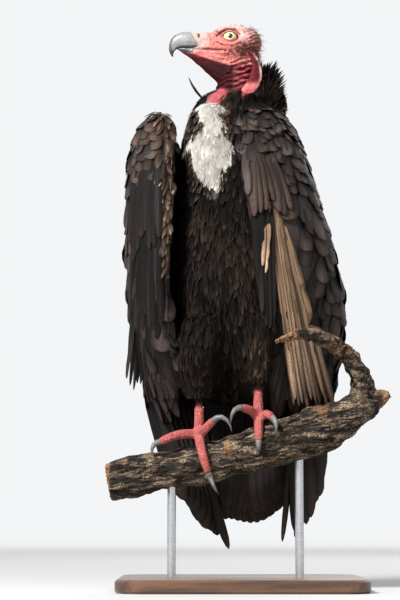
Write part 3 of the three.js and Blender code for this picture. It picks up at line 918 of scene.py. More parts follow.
class Markings:
    """The bird's colours by place, which the skin and the coat share."""

    DARK = np.array([0.0048, 0.0037, 0.0034])
    SLATE = np.array([0.043, 0.034, 0.033])
    BROWN = np.array([0.062, 0.038, 0.026])
    TAN = np.array([0.52, 0.35, 0.225])
    WHITE = np.array([0.98, 0.91, 0.78])
    PINK = np.array([0.5, 0.125, 0.108])
    CORAL = np.array([0.56, 0.25, 0.22])
    CREAM = np.array([0.68, 0.42, 0.38])
    CERE = np.array([0.42, 0.275, 0.24])
    # The throat's deep crimson, set near black because it also paints the shade under the jaw.
    CRIMSON = np.array([0.055, 0.003, 0.006])
    ROSE = np.array([0.48, 0.1, 0.115])
    LEG = np.array([0.4, 0.1, 0.09])
    EAR = np.array([0.075, 0.033, 0.02])
    # Height, left edge and right edge of the white breast patch: narrow above, wide below, with a tip.
    PATCH = (
        (530, -22, -24), (542, -30, -20), (553, -42, -17), (563, -52, -13),
        (577, -57, -7), (590, -58, -1), (599, -60, 1), (605, -68, 0),
        (611, -66, -4), (618, -48, -13), (628, -41, -15), (637, -41, -15),
        (648, -46, -12), (660, -45, -13), (666, -39, -18), (670, -31, -26),
    )
    # Height and inner edge of the left wing, where it lies over the trunk.
    SHOULDER = (
        (430, 42), (458, 34), (509, 25), (544, 15), (586, 8), (655, 8), (664, 16), (672, 30), (678, 60),
    )

    def __init__(self) -> None:
        """Draws the mottling."""
        self.grain = Grain(11)

    def _between(self, places: Array, edges: Sequence[Row], soft: float) -> Array:
        """How far inside a patch each place lies, from rows of height, left edge and right edge.

        Args:
            places: where, one row each.
            edges: the patch's rows.
            soft: how far its edge wanders, in millimetres.

        Returns:
            From 0 outside to 1 inside.
        """
        x, _, z = places.T
        height, left, right = np.array(edges).T
        x = x + self.grain.at(places, 8) * soft
        inside = ease(x - np.interp(z, height, left), -1.5, 1.5)
        inside = inside * ease(np.interp(z, height, right) - x, -1.5, 1.5)
        return inside * (z > height[0]) * (z < height[-1])

    def down(self, places: Array, inset: float = 0.0) -> Array:
        """How much of each place belongs to the white breast patch, drawn in by an inset."""
        return self._between(places, np.array(self.PATCH) + (0, inset, -inset), 4.0) * (places[:, 1] < -6)

    def bare_throat(self, places: Array) -> Array:
        """How much of each place belongs to the bare fold at the foot of the neck."""
        x, y, z = places.T
        low = np.interp(x, [-48, -30, -12], [681, 669, 677])
        return ease(z - low, 0, 4) * ease(-x, 4, 9) * ease(-20 - y, 0, 8)

    def shoulder(self, places: Array) -> Array:
        """Whether each place lies where the left wing covers the trunk."""
        x, y, z = places.T
        height, edge = np.array(self.SHOULDER).T
        return (x > np.interp(z, height, edge)) & (y < 4) & (z > height[0]) & (z < height[-1])

    def leading_edge(self, places: Array) -> Array:
        """How much of each place belongs to the right wing's brown leading edge."""
        x, y, z = places.T
        inner = ease(x - np.interp(z, [440, 500, 560, 640, 664], [-91, -99, -104, -102, -104]), -4, 4)
        return inner * ease(z, 425, 460) * ease(10 - y, 0, 10)

    def coat(self, places: Array) -> Array:
        """The tone of the coat at each place.

        Args:
            places: where, one row each.

        Returns:
            One colour for each place.
        """
        x, y, z = places.T
        broad = self.grain.at(places, 55) * 0.5 + 0.5
        spots = self.grain.at(places, 16) * 0.5 + 0.5
        tone = mixed(self.DARK * 0.8, self.BROWN * 0.7, ease(spots * 0.7 + broad * 0.5, 0.5, 1.1) * 0.35)
        tone = mixed(tone, self.DARK, ease(z, 668, 682) * ease(x, -12, 4) * ease(40 - y, 0, 20))
        belly = ease(545 - z, 0, 60) * ease(z - 385, 0, 60) * ease(62 - np.abs(x + 8), 0, 30)
        tone = mixed(tone, self.BROWN * (0.8, 0.95, 0.95), belly * ease(broad, 0.3, 0.8) * 0.6)
        neck = ease(z, 600, 625) * ease(28 - np.abs(x + 24), 0, 14) * ease(-40 - y, 0, 8)
        tone = mixed(tone, self.BROWN * 1.5, neck * spots)
        tuft = np.exp(-(((x - 36) / 13) ** 2 + ((z - 334) / 20) ** 2)) * (y < 25)
        return mixed(tone, self.TAN * 0.6, tuft * (0.4 + 0.5 * spots))

    def wing(self, places: Array) -> Array:
        """The tone of the wing's coverts at each place.

        Args:
            places: where, one row each.

        Returns:
            One colour for each place.
        """
        broad = self.grain.at(places, 40) * 0.5 + 0.5
        spots = self.grain.at(places, 14) * 0.5 + 0.5
        tone = mixed(self.SLATE, self.DARK, ease(spots, 0.3, 0.75) * 0.85)
        tone = mixed(tone, self.BROWN, ease(broad + 0.3 * spots, 0.6, 1.0) * 0.7)
        lead = self.leading_edge(places) * (places[:, 0] < 0)
        return mixed(tone, mixed(self.BROWN, self.TAN * 0.4, ease(spots, 0.45, 0.8)), lead * 0.8)

    def head(self, forward: Array, side: Array, rise: Array, labels: Array) -> Array:
        """The tone of the bare head and neck, with painted shade under the jaw and a painted highlight on the
        crown and temple.

        Args:
            forward: how far each place lies in front of the eyes.
            side: how far it lies to the left.
            rise: how far it lies above the eyes.
            labels: the node that each place belongs to.

        Returns:
            One colour for each place.
        """
        places = column_stack([forward, side, rise])
        spots = self.grain.at(places, 6) * 0.5 + 0.5
        tone = mixed(self.PINK, self.CORAL, ease(spots, 0.35, 0.8) * 0.6)
        # Paler crown and temple: the skin's own paler pink, brightened further as a painted highlight where
        # the light falls from above.
        temple = np.exp(-(((forward + 22) / 15) ** 2 + ((rise - 2) / 11) ** 2))
        tone = mixed(tone, self.CREAM, np.maximum(temple, ease(rise, 4, 15)) * (0.6 + 0.4 * spots))
        tone = mixed(tone, self.CERE, ease(forward, 22, 38) * ease(rise + 15 + 0.12 * forward, 0, 6) * 0.95)
        # Painted shade: below the gape line the throat's own crimson is darkened to near black, and darker
        # still further down.
        jaw = ease(-rise - 20.5 - 0.36 * (53 - forward), -1.5, 1.5) * ease(forward + 14, 0, 12)
        tone = mixed(tone, mixed(self.CRIMSON, self.CRIMSON * 0.4, ease(-rise, 24, 40)), jaw)
        ear = np.exp(-(((forward + 21) / 17) ** 2 + ((rise + 19) / 10) ** 2))
        tone = mixed(tone, self.EAR, np.clip(ear * 1.1 * (0.35 + spots), 0, 0.88))
        neck = (np.isin(labels, ["neck", "throat"]) & (rise < -40)) * (1 - jaw)
        tone = mixed(tone, self.CRIMSON * 1.8, neck * 0.9)
        tone = mixed(tone, self.ROSE, neck * ease(spots, 0.45, 0.7) * 0.8)
        flap = np.isin(labels, LAPPETS)
        tone = mixed(tone, self.CRIMSON * 1.7, flap * ease(rise + 74, 0, 8))
        tone = mixed(tone, self.ROSE * 1.15, flap * ease(-rise, 71, 78) * 0.9)
        rim = np.interp(rise, [-80, -60, -40, -22], [37, 43, 40.5, 30])
        return mixed(tone, self.CREAM, flap * ease(-forward - rim, -1.8, 0.2) * ease(-rise, 22, 30) * 0.9)


# The skin.


@dataclass
class Skin:
    """One skin over all the flesh, sunk below the coat and bare on the head, neck and legs."""

    form: Form
    marks: Markings
    voxel: float = 1.7
    swell: float = 1.3
    smooth: int = 5
    thin: float = 0.11  # what share of the facets under the coat is kept
    filler: float = -1.0  # how far the skin's core lies inside the horn of bill and claws
    ruff_keep: float = 0.74
    opening: Pair = (10.0, 6.1)  # half width and height between the lids
    lid: float = 1.0
    fine: Spot = (42.0, -62.0, 716.0)  # back, front and foot of the finely made head
    # Each fold's height, its width, and its line as places forward of and above the eye.
    folds: tuple[tuple[float, float, tuple[Pair, ...]], ...] = (
        (-1.5, 1.3, ((50, -13.5), (36, -15.5), (20, -18), (6, -20))),
        (0.9, 1.6, ((50, -10.8), (34, -12.6), (18, -14.8), (4, -16.8))),
        (0.8, 1.8, ((48, -17), (34, -19.5), (18, -22), (4, -24))),
        (2.2, 2.4, ((22, 6), (13, 11.5), (2, 14.4), (-9, 13.2), (-18, 6))),
        (-1.9, 1.1, ((19, 2), (13, 6.2), (2, 10), (-8, 8.6), (-14, 3))),
        (0.9, 1.5, ((16, -5), (8, -10.5), (-3, -12), (-12, -8.5), (-16, -2))),
        (-0.9, 1.2, ((18, -8), (8, -13.5), (-4, -15), (-15, -11))),
        (0.8, 1.7, ((4, -21), (-5, -31), (-12, -42))),
        (-0.9, 1.2, ((0, -20), (-9, -30), (-17, -42))),
        (0.9, 1.6, ((-18, -4), (-25, -10), (-30, -18))),
        (-0.8, 1.3, ((-15, -9), (-21, -14), (-25, -20))),
        (0.7, 1.4, ((26, 3), (24, -4), (25, -11))),
        (-0.6, 1.1, ((28.5, 4), (26.5, -4), (28, -11))),
    )

    def build(self) -> Piece:
        """Makes the skin.

        Returns:
            The finished object.
        """
        copies = [node_copy(name, self.swell, self.ruff_keep if name == "ruff" else 1.0) for name in FLESH]
        copies += [node_copy(name, self.swell) for name in ("eye_left", "eye_right")]
        copies += [node_copy(name, self.filler) for name in ("bill_upper", "bill_lower", *CLAWS)]
        piece = welded("skin", copies, self.voxel, self.smooth)
        self._thin_out(piece)
        self._refine_head(piece)
        labels = self.form.label(places_of(piece))
        self._sink(piece, labels)
        crease = self._sculpt(piece, labels)
        self._colour(piece, labels, crease)
        return settle(piece, SkinFinish(), FLESH)

    def _thin_out(self, piece: Piece) -> None:
        """Keeps few facets where the coat covers the skin.

        Args:
            piece: the skin.
        """
        labels = self.form.label(places_of(piece))
        covered = np.flatnonzero(np.isin(labels, list(COAT_DEPTH)))
        group = piece.vertex_groups.new(name="covered")
        group.add(covered.tolist(), 1.0, "REPLACE")
        applied(piece, "DECIMATE", ratio=self._ratio(piece, len(covered)), vertex_group="covered")
        piece.vertex_groups.clear()

    def _ratio(self, piece: Piece, covered: int) -> float:
        """What share of all facets is left once the covered ones are thinned."""
        bare = 1 - covered / len(piece.data.vertices)
        return bare + (1 - bare) * self.thin

    def _refine_head(self, piece: Piece) -> None:
        """Halves the facets of the head and upper neck.

        Args:
            piece: the skin.
        """
        places = places_of(piece)
        back, front, low = self.fine
        fine = (places[:, 2] > low) & (places[:, 0] > front) & (places[:, 0] < back)
        mesh = bmesh.new()
        mesh.from_mesh(piece.data)
        edges = [e for e in mesh.edges if fine[e.verts[0].index] and fine[e.verts[1].index]]
        bmesh.ops.subdivide_edges(mesh, edges=edges, cuts=1, use_grid_fill=True)
        mesh.to_mesh(piece.data)
        mesh.free()
        piece.data.update()

    def _sink(self, piece: Piece, labels: Array) -> None:
        """Moves the skin in by its swelling, and by the depth of the coat where there is one.

        Args:
            piece: the skin.
            labels: the node that each point belongs to.
        """
        depth = np.array([COAT_DEPTH.get(name, 0.0) for name in labels])
        depth = depth * (1 - self.marks.bare_throat(places_of(piece)))
        depth = relaxed(depth, edges_of(piece), 6)
        move_to(piece, places_of(piece) - normals_of(piece) * (depth + self.swell)[:, None])

    def _sculpt(self, piece: Piece, labels: Array) -> Array:
        """Works the lids, folds, wrinkles and nostrils into the bare skin.

        Args:
            piece: the skin.
            labels: the node that each point belongs to.

        Returns:
            How deep each point lies in the creases, nostrils and lid rims, from 0 to 1, which the finish
            darkens as painted shade.
        """
        places = places_of(piece)
        edges = edges_of(piece)
        bare = np.isin(labels, BARE).astype(float)
        places = places * (1 - bare[:, None]) + relaxed(places, edges, 2) * bare[:, None]
        normals = normals_of(piece)
        forward, side, rise = self._head_axes(places)
        height = np.zeros(len(places))
        on_head = np.isin(labels, ["head", "cere", "throat"]) & (np.abs(side) > 3)
        for tall, wide, line in self.folds:
            gap = self._distance(forward, rise, line)
            height += on_head * tall * np.exp(-((gap / wide) ** 2))
        grain = Grain(5)
        rows = column_stack([forward, side, rise])
        bend = grain.at(rows, 12) * 2.2
        neck = (labels == "neck") * ease(-rise, 26, 36)
        rings = np.sin((rise + bend + 0.25 * forward) / 7.0 * 2 * math.pi)
        height += neck * (rings * 1.6 + grain.at(rows, (14, 14, 4)) * 2.2)
        jaw = (labels == "throat") | ((labels == "head") & (rise < -26))
        height += jaw * grain.at(rows, (18, 3.4, 7)) * 0.75
        wrinkle = 1 - np.abs(grain.at(rows, (7, 7, 3.6))) * 2
        skull = labels == "head"
        cheek = ease(20 - forward, 0, 12) + 1.1 * ease(-rise, 8, 16) * ease(40 - forward, 0, 12)
        height += skull * (wrinkle * 0.32 + grain.at(rows, (2.6, 2.6, 2.0)) * 0.32) * cheek
        back = skull * ease(-forward, 14, 28)
        height += back * np.sin((rise + forward * 0.5 + bend) / 5.2 * 2 * math.pi) * 0.5
        flap = np.isin(labels, LAPPETS)
        height += flap * grain.at(rows, (9, 9, 5)) * 0.5
        places = places + normals * height[:, None]
        nostril = ((forward - 43.5) / 1.7) ** 2 + ((rise - 4.6 - (forward - 43.5) * 0.2) / 4.0) ** 2
        pit = np.isin(labels, ["cere", "head"]) * np.exp(-(nostril**2)) * (np.abs(side) > 3)
        places[:, 1] += np.sign(side) * pit * 2.6
        places, socket = self._lids(places)
        move_to(piece, places)
        crease = np.clip(-height / 1.1, 0, 1) * 0.92 + pit
        return np.clip(relaxed(np.maximum(crease, socket), edges, 1), 0, 1)

    def _lids(self, places: Array) -> tuple[Array, Array]:
        """Opens the lids over each eye.

        Args:
            places: the skin's points.

        Returns:
            The points moved, and how much painted shade each takes inside the opening and along the lids'
            rims, heavier on the upper lid.
        """
        forward, side, rise = self._head_axes(places)
        wide, tall = self.opening
        off = rise + 0.3 - 0.04 * forward
        squeeze = 1.6
        from_eye = ((np.abs(forward) / wide) ** squeeze + (np.abs(off) / tall) ** squeeze) ** (1 / squeeze)
        ball = EYE_OUT + np.sqrt(np.maximum(EYE_RADIUS**2 - forward**2 - (rise + 0.5) ** 2, 0))
        near = (np.abs(side) > 8) & (from_eye < 2.2)
        out = np.abs(side)
        rim = np.exp(-(((from_eye - 1.13) / 0.13) ** 2)) * 0.9
        blend = ease(from_eye, 1.0, 1.75)
        lid_side = (ball + self.lid) * (1 - blend) + out * blend + rim
        inside = ease(from_eye, 1.0, 0.93)
        target = lid_side * (1 - inside) + (ball - 2.4) * inside
        moved = np.where(near, target, out)
        result = places.copy()
        result[:, 1] = HEAD_AT[1] - np.sign(side) * moved
        # Painted shade along the lids' rims, heavier on the upper lid under the brow.
        dark = near * np.exp(-(((from_eye - 1.05) / 0.13) ** 2)) * np.where(off > 0, 1.3, 0.9)
        return result, np.clip(dark + near * (from_eye < 1), 0, 1)

    def _head_axes(self, places: Array) -> tuple[Array, Array, Array]:
        """Each place as forward of the eyes, to the bird's left, and above the eyes."""
        return HEAD_AT[0] - places[:, 0], HEAD_AT[1] - places[:, 1], places[:, 2] - HEAD_AT[2]

    def _distance(self, forward: Array, rise: Array, line: Sequence[Pair]) -> Array:
        """How far each place lies from a line on the side of the head.

        Args:
            forward: how far each place lies in front of the eyes.
            rise: how far it lies above them.
            line: the line's corners, as forward and rise.

        Returns:
            The distances, in millimetres.
        """
        nearest = np.full(len(forward), np.inf)
        spots = column_stack([forward, rise])
        for a, b in zip(line[:-1], line[1:]):
            start, step = np.array(a), np.array(b) - np.array(a)
            share = np.clip((spots - start) @ step / (step @ step), 0, 1)
            nearest = np.minimum(nearest, np.linalg.norm(spots - start - share[:, None] * step, axis=1))
        return nearest

    def _colour(self, piece: Piece, labels: Array, crease: Array) -> None:
        """Paints the skin's tone, and how scaly and creased it is.

        Args:
            piece: the skin.
            labels: the node that each point belongs to.
            crease: how deep in a crease each point lies.
        """
        places = places_of(piece)
        tone = self.marks.coat(places)
        wing = np.isin(labels, WINGS)
        tone[wing] = self.marks.wing(places[wing])
        breast = np.isin(labels, BREAST)
        tone = mixed(tone, self.marks.WHITE * 0.8, self.marks.down(places) * breast)
        spots = self.marks.grain.at(places, (5, 5, 9)) * 0.5 + 0.5
        fold = mixed(self.marks.ROSE, self.marks.CRIMSON, ease(spots, 0.35, 0.65) * 0.8)
        lower = places + np.array([0, 0, 5.0])
        tone = mixed(tone, fold, self.marks.bare_throat(lower) * breast)
        head = np.isin(labels, BARE)
        tone[head] = self.marks.head(*(axis[head] for axis in self._head_axes(places)), labels[head])
        legs = np.isin(labels, LEGS)
        tone[legs] = self.marks.LEG
        paint(piece, "tone", relaxed(tone, edges_of(piece), 2))
        paint(piece, "hide", column_stack([legs, crease * head, head | legs]).astype(float))


# Vanes.


@dataclass(frozen=True)
class Cut:
    """The cut of one kind of vane: where its rows lie, how wide each is, and how it is bent."""

    spots: tuple[float, ...]
    half: tuple[float, ...]
    columns: int = 3
    thick: float = 0.5
    cup: float = 0.2
    ragged: float = 0.0
    notch: float = 0.0


class Cuts(Enum):
    """The kinds of vane on the bird."""

    COVERT = Cut(
        (0, 0.3, 0.58, 0.78, 0.91, 0.975, 1), (0.35, 0.85, 1, 0.98, 0.8, 0.5, 0.12), 5, 0.7, 0.13, 0.06
    )
    BODY = Cut((0, 0.25, 0.5, 0.72, 0.9, 1), (0.35, 0.85, 1, 0.88, 0.5, 0.08), 3, 0.6, 0.25, 0.4)
    LOCK = Cut((0, 0.3, 0.65, 1), (0.7, 1, 0.75, 0.06), 3, 0.5, 0.2, 0.15)
    PLUME = Cut((0, 0.2, 0.45, 0.7, 0.88, 1), (0.3, 0.8, 1, 0.8, 0.42, 0.04), 3, 0.6, 0.3, 0.3)
    FLIGHT = Cut(
        (0, 0.12, 0.28, 0.44, 0.6, 0.74, 0.86, 0.94, 0.98, 1),
        (0.3, 0.75, 0.95, 1, 1, 0.97, 0.88, 0.68, 0.42, 0.08), 5, 0.9, 0.1, 0.05, 0.3,
    )
    DOWN = Cut((0, 0.3, 0.7, 1), (0.8, 1, 0.7, 0.05), 3, 0.45, 0.1, 0.2)
    BRISTLE = Cut((0, 0.5, 1), (1, 0.7, 0.12), 3, 0.3, 0.0, 0.0)


class Coat:
    """A layer of the coat: many closed vanes gathered into one mesh."""

    PATCH = 0.003

    def __init__(self, name: str, form: Form, seed: int) -> None:
        """Starts an empty layer.

        Args:
            name: the piece's name.
            form: what its roots are unwrapped on.
            seed: which random draw it uses.
        """
        self.name = name
        self.form = form
        self.drawn = np.random.default_rng(seed)
        self.points: list[Array] = []
        self.marked: dict[str, list[Array]] = {"tone": [], "vane": [], "lie": []}
        self.patches: list[Array] = []
        self.quads: list[Array] = []
        self.caps: list[Array] = []
        self.count = 0

    def add(
        self, kind: Cuts, lines: Array, facing: Array, half: Array | float, tones: Array,
        tips: Array | None = None, twist: Array | float = 0.0,
    ) -> None:
        """Adds vanes along middle lines.

        Args:
            kind: how they are cut.
            lines: the middle line of each, evenly stepped.
            facing: the normals along them.
            half: how wide each is from its shaft to its edge.
            tones: each vane's colour.
            tips: the colour that its end fades to.
            twist: how far each is turned about its shaft, in radians.
        """
        cut = kind.value
        count, steps = len(lines), lines.shape[1] - 1
        if not count:
            return
        spots = np.array(cut.spots)
        low = np.minimum((spots * steps).astype(int), steps - 1)
        part = (spots * steps - low)[None, :, None]
        path = lines[:, low] * (1 - part) + lines[:, low + 1] * part
        normal = unit(facing[:, low] * (1 - part) + facing[:, low + 1] * part)
        along = unit(np.gradient(path, axis=1))
        side = unit(np.cross(along, normal))
        normal = unit(np.cross(side, along))
        self.marked["lie"].append(np.repeat(normal.reshape(-1, 3), 2 * cut.columns - 2, 0))
        turn = np.broadcast_to(np.asarray(twist, float), (count,))[:, None, None]
        level, tilt = np.cos(turn), np.sin(turn)
        side, normal = side * level + normal * tilt, normal * level - side * tilt
        columns = np.linspace(-1, 1, cut.columns)
        across = np.concatenate([columns, columns[-2:0:-1]])
        hump = 1 - columns**2
        rise = np.concatenate([hump, -hump[-2:0:-1]]) * cut.thick / 2
        share = np.array(cut.half)
        width = np.broadcast_to(np.asarray(half, float), (count,))[:, None] * share
        torn = 1 - cut.ragged * self.drawn.random((count, len(spots), 2))
        if cut.notch:
            gaps = self.drawn.random((count, len(spots), 2)) < 0.1
            torn = torn * np.where(gaps & (share > 0.6)[None, :, None], 1 - cut.notch, 1.0)
        wide = width[:, :, None] * np.where(across < 0, torn[:, :, :1], torn[:, :, 1:])
        body = np.sqrt(share)[None, :, None] * rise
        points = path[:, :, None] + side[:, :, None] * (across * wide)[..., None]
        points = points + normal[:, :, None] * (body - cut.cup * across**2 * wide)[..., None]
        rows, ring = len(spots), len(across)
        tint = self.drawn.random((count, 1, 1))
        shape = count, rows, ring
        flags = [np.broadcast_to(value, shape) for value in (across, spots[None, :, None], tint)]
        ends = tones if tips is None else tips
        fade = ease(spots, 0.5, 1.0)[None, :, None, None]
        tone = tones[:, None, None] * (1 - fade) + ends[:, None, None] * fade
        spread = np.stack([flags[0] * 0.5, flags[1] - 0.5], -1) * self.PATCH
        roots = self.form.patches(path[:, 0])[:, None, None]
        self.points.append(points.reshape(-1, 3))
        self.marked["tone"].append(np.broadcast_to(tone, (*shape, 3)).reshape(-1, 3))
        self.marked["vane"].append(np.stack(flags, -1).reshape(-1, 3))
        self.patches.append((roots + spread).reshape(-1, 2))
        first = self.count + np.arange(count)[:, None, None] * rows * ring
        row = np.arange(rows - 1)[None, :, None] * ring
        spot = np.arange(ring)[None, None]
        here, beside = first + row + spot, first + row + (spot + 1) % ring
        quad = np.stack([here, beside, beside + ring, here + ring], -1)
        self.quads.append(quad.reshape(-1, 4))
        start = first[:, 0] + np.arange(ring)[None, ::-1]
        end = first[:, 0] + (rows - 1) * ring + np.arange(ring)[None]
        self.caps += [start.reshape(-1, ring), end.reshape(-1, ring)]
        self.count += count * rows * ring

    def spread(
        self, kind: Cuts, lines: Array, facing: Array, half: Pair, tones: Array,
        tips: Array | None, twist: Pair,
    ) -> None:
        """Adds vanes whose half widths lie between two numbers, and whose turns lie about a mean."""
        count = len(lines)
        wide, turned = self.drawn.uniform(*half, count), self.drawn.normal(*twist, count)
        self.add(kind, lines, facing, wide, tones, tips, turned)

    def build(self, finish: Finish, slot: str, replaced: Iterable[str] = ()) -> Piece:
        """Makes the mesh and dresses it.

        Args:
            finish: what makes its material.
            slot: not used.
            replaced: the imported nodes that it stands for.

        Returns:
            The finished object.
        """
        points = to_frame(np.concatenate(self.points))
        faces = [np.concatenate(self.quads), *self.caps]
        corners = np.concatenate([face.ravel() for face in faces])
        sizes = np.concatenate([np.full(len(face), face.shape[1]) for face in faces])
        mesh = bpy.data.meshes.new(self.name)
        mesh.vertices.add(len(points))
        mesh.vertices.foreach_set("co", points.ravel())
        mesh.loops.add(len(corners))
        mesh.loops.foreach_set("vertex_index", corners.astype(np.int32))
        mesh.polygons.add(len(sizes))
        mesh.polygons.foreach_set("loop_start", np.concatenate([[0], np.cumsum(sizes)[:-1]]).astype(np.int32))
        mesh.update(calc_edges=True)
        mesh.polygons.foreach_set("use_smooth", np.ones(len(sizes), bool))
        mesh.set_sharp_from_angle(angle=math.radians(70))
        layer = mesh.uv_layers.new(name="OFBake")
        layer.data.foreach_set("uv", np.concatenate(self.patches)[corners].astype(np.float32).ravel())
        piece = linked(self.name, mesh)
        for name, values in self.marked.items():
            paint(piece, name, np.concatenate(values))
        return settle(piece, finish, replaced)


def fanned(ways: Array, normals: Array, angles: Array) -> Array:
    """Directions turned about the normals, by angles in radians."""
    turn = np.asarray(angles)[:, None]
    return ways * np.cos(turn) + np.cross(normals, ways) * np.sin(turn)


@dataclass
class BodyCoat:
    """The contour feathers of trunk and back, with a shaggy fringe over them."""

    form: Form
    marks: Markings
    spacing: float = 7.4
    locks: int = 5
    neck: Pair = (10.0, -4.0)
    shanks: tuple[Spot, ...] = ((-46.0, 2.0, 268.0), (36.0, 4.0, 288.0))

    def ways(self, roots: Array) -> Array:
        """The lie of the coat: down the body, and outwards from the neck over the shoulders."""
        out = unit((roots - (*self.neck, 0.0)) * (1, 1, 0))
        return unit(DOWNWARD + out * (ease(roots[:, 2], 630, 705) * 1.6)[:, None])

    def room(self, roots: Array) -> Array:
        """How far a feather may reach down before it would hide a bare shank.

        Args:
            roots: where the feathers start.

        Returns:
            The room below each root, in millimetres.
        """
        room = np.full(len(roots), 99.0)
        for x, y, end in self.shanks:
            near = np.hypot(roots[:, 0] - x, roots[:, 1] - y) < 46
            room = np.where(near & (roots[:, 1] < 34), np.minimum(room, roots[:, 2] - end), room)
        over_wing = (roots[:, 0] > 12) & (roots[:, 1] < 0) & (roots[:, 2] > 655) & (roots[:, 2] < 712)
        return np.where(over_wing, np.clip(roots[:, 2] - 664, 3, room), room)

    def build(self) -> None:
        """Makes the layers."""
        roots, normals = self.form.scatter(("trunk",) + THIGHS, self.spacing, 21)
        nape = self.form.scatter(("ruff",), self.spacing, 24, self._under_ruff)
        roots, normals = np.concatenate([roots, nape[0]]), np.concatenate([normals, nape[1]])
        white = self.marks.down(roots) * (normals[:, 1] < 0)
        stay = (white < 0.5) & (self.marks.bare_throat(roots) < 0.5) & (self.room(roots) > 9)
        roots = roots[stay & ~self.marks.shoulder(roots)]
        coat = Coat("body_feathers", self.form, 22)
        drawn = coat.drawn
        count = len(roots)
        low = ease(330 - roots[:, 2], 0, 60)
        lengths = np.minimum(drawn.uniform(26, 38, count) + 14 * low, self.room(roots) + 8)
        ways = fanned(self.ways(roots), self.form.nearest(roots)[1], drawn.normal(0, 0.16, count))
        lines, facing = self.form.lay(roots, ways, lengths, 5, 5.0, drawn.uniform(0.0, 1.6, count), 0.85)
        tones = self.marks.coat(roots) * drawn.uniform(0.7, 1.3, (count, 1))
        tips = mixed(tones, self.marks.BROWN, drawn.random(count) ** 3 * 0.5)
        coat.spread(Cuts.BODY, lines, facing, (4.2, 6.8), tones, tips, (0, 0.1))
        coat.build(PlumageFinish("body_plumage", soft=0.75, gloss=0.07), "plumage")
        front = roots[:, 1] < 0
        self._fringe("body_fringe", roots[front], lengths[front])
        self._fringe("back_fringe", roots[~front], lengths[~front])

    def _under_ruff(self, places: Array, _: Array) -> Array:
        """Which places lie at the back, below the plumes of the ruff."""
        return (places[:, 2] < 708) & (places[:, 1] > 4)

    def _fringe(self, name: str, roots: Array, lengths: Array) -> None:
        """Adds fine locks over the feathers, where the plumage is loose.

        Args:
            name: the piece's name.
            roots: where the feathers below start.
            lengths: how long those are.
        """
        coat = Coat(name, self.form, 23)
        drawn = coat.drawn
        roots = np.repeat(roots, self.locks, 0) + drawn.normal(0, 2.5, (len(roots) * self.locks, 3))
        roots, normals, _ = self.form.nearest(roots)
        count = len(roots)
        clump = self.marks.grain.at(roots, 24)
        lengths = np.repeat(lengths, self.locks) * drawn.uniform(0.55, 0.95, count)
        ways = fanned(self.ways(roots), normals, drawn.normal(0, 0.16, count) + clump * 0.5)
        lift = drawn.uniform(0.5, 2.6, count) + clump
        lines, facing = self.form.lay(roots, ways, lengths, 4, 3.0, lift, 0.85)
        tones = self.marks.coat(roots) * drawn.uniform(0.6, 1.5, (count, 1))
        sunlit = ease(560 - roots[:, 2], 0, 120) * ease(clump, -0.3, 0.5)
        tips = mixed(tones, self.marks.BROWN * (1.2, 1.35, 1.35), drawn.random(count) ** 1.6 * sunlit)
        coat.spread(Cuts.LOCK, lines, facing, (0.4, 0.95), tones, tips, (0, 0.3))
        coat.build(PlumageFinish("fringe_plumage", barbs=12, edge_share=0.1, soft=0.6, gloss=0.07), "plumage")


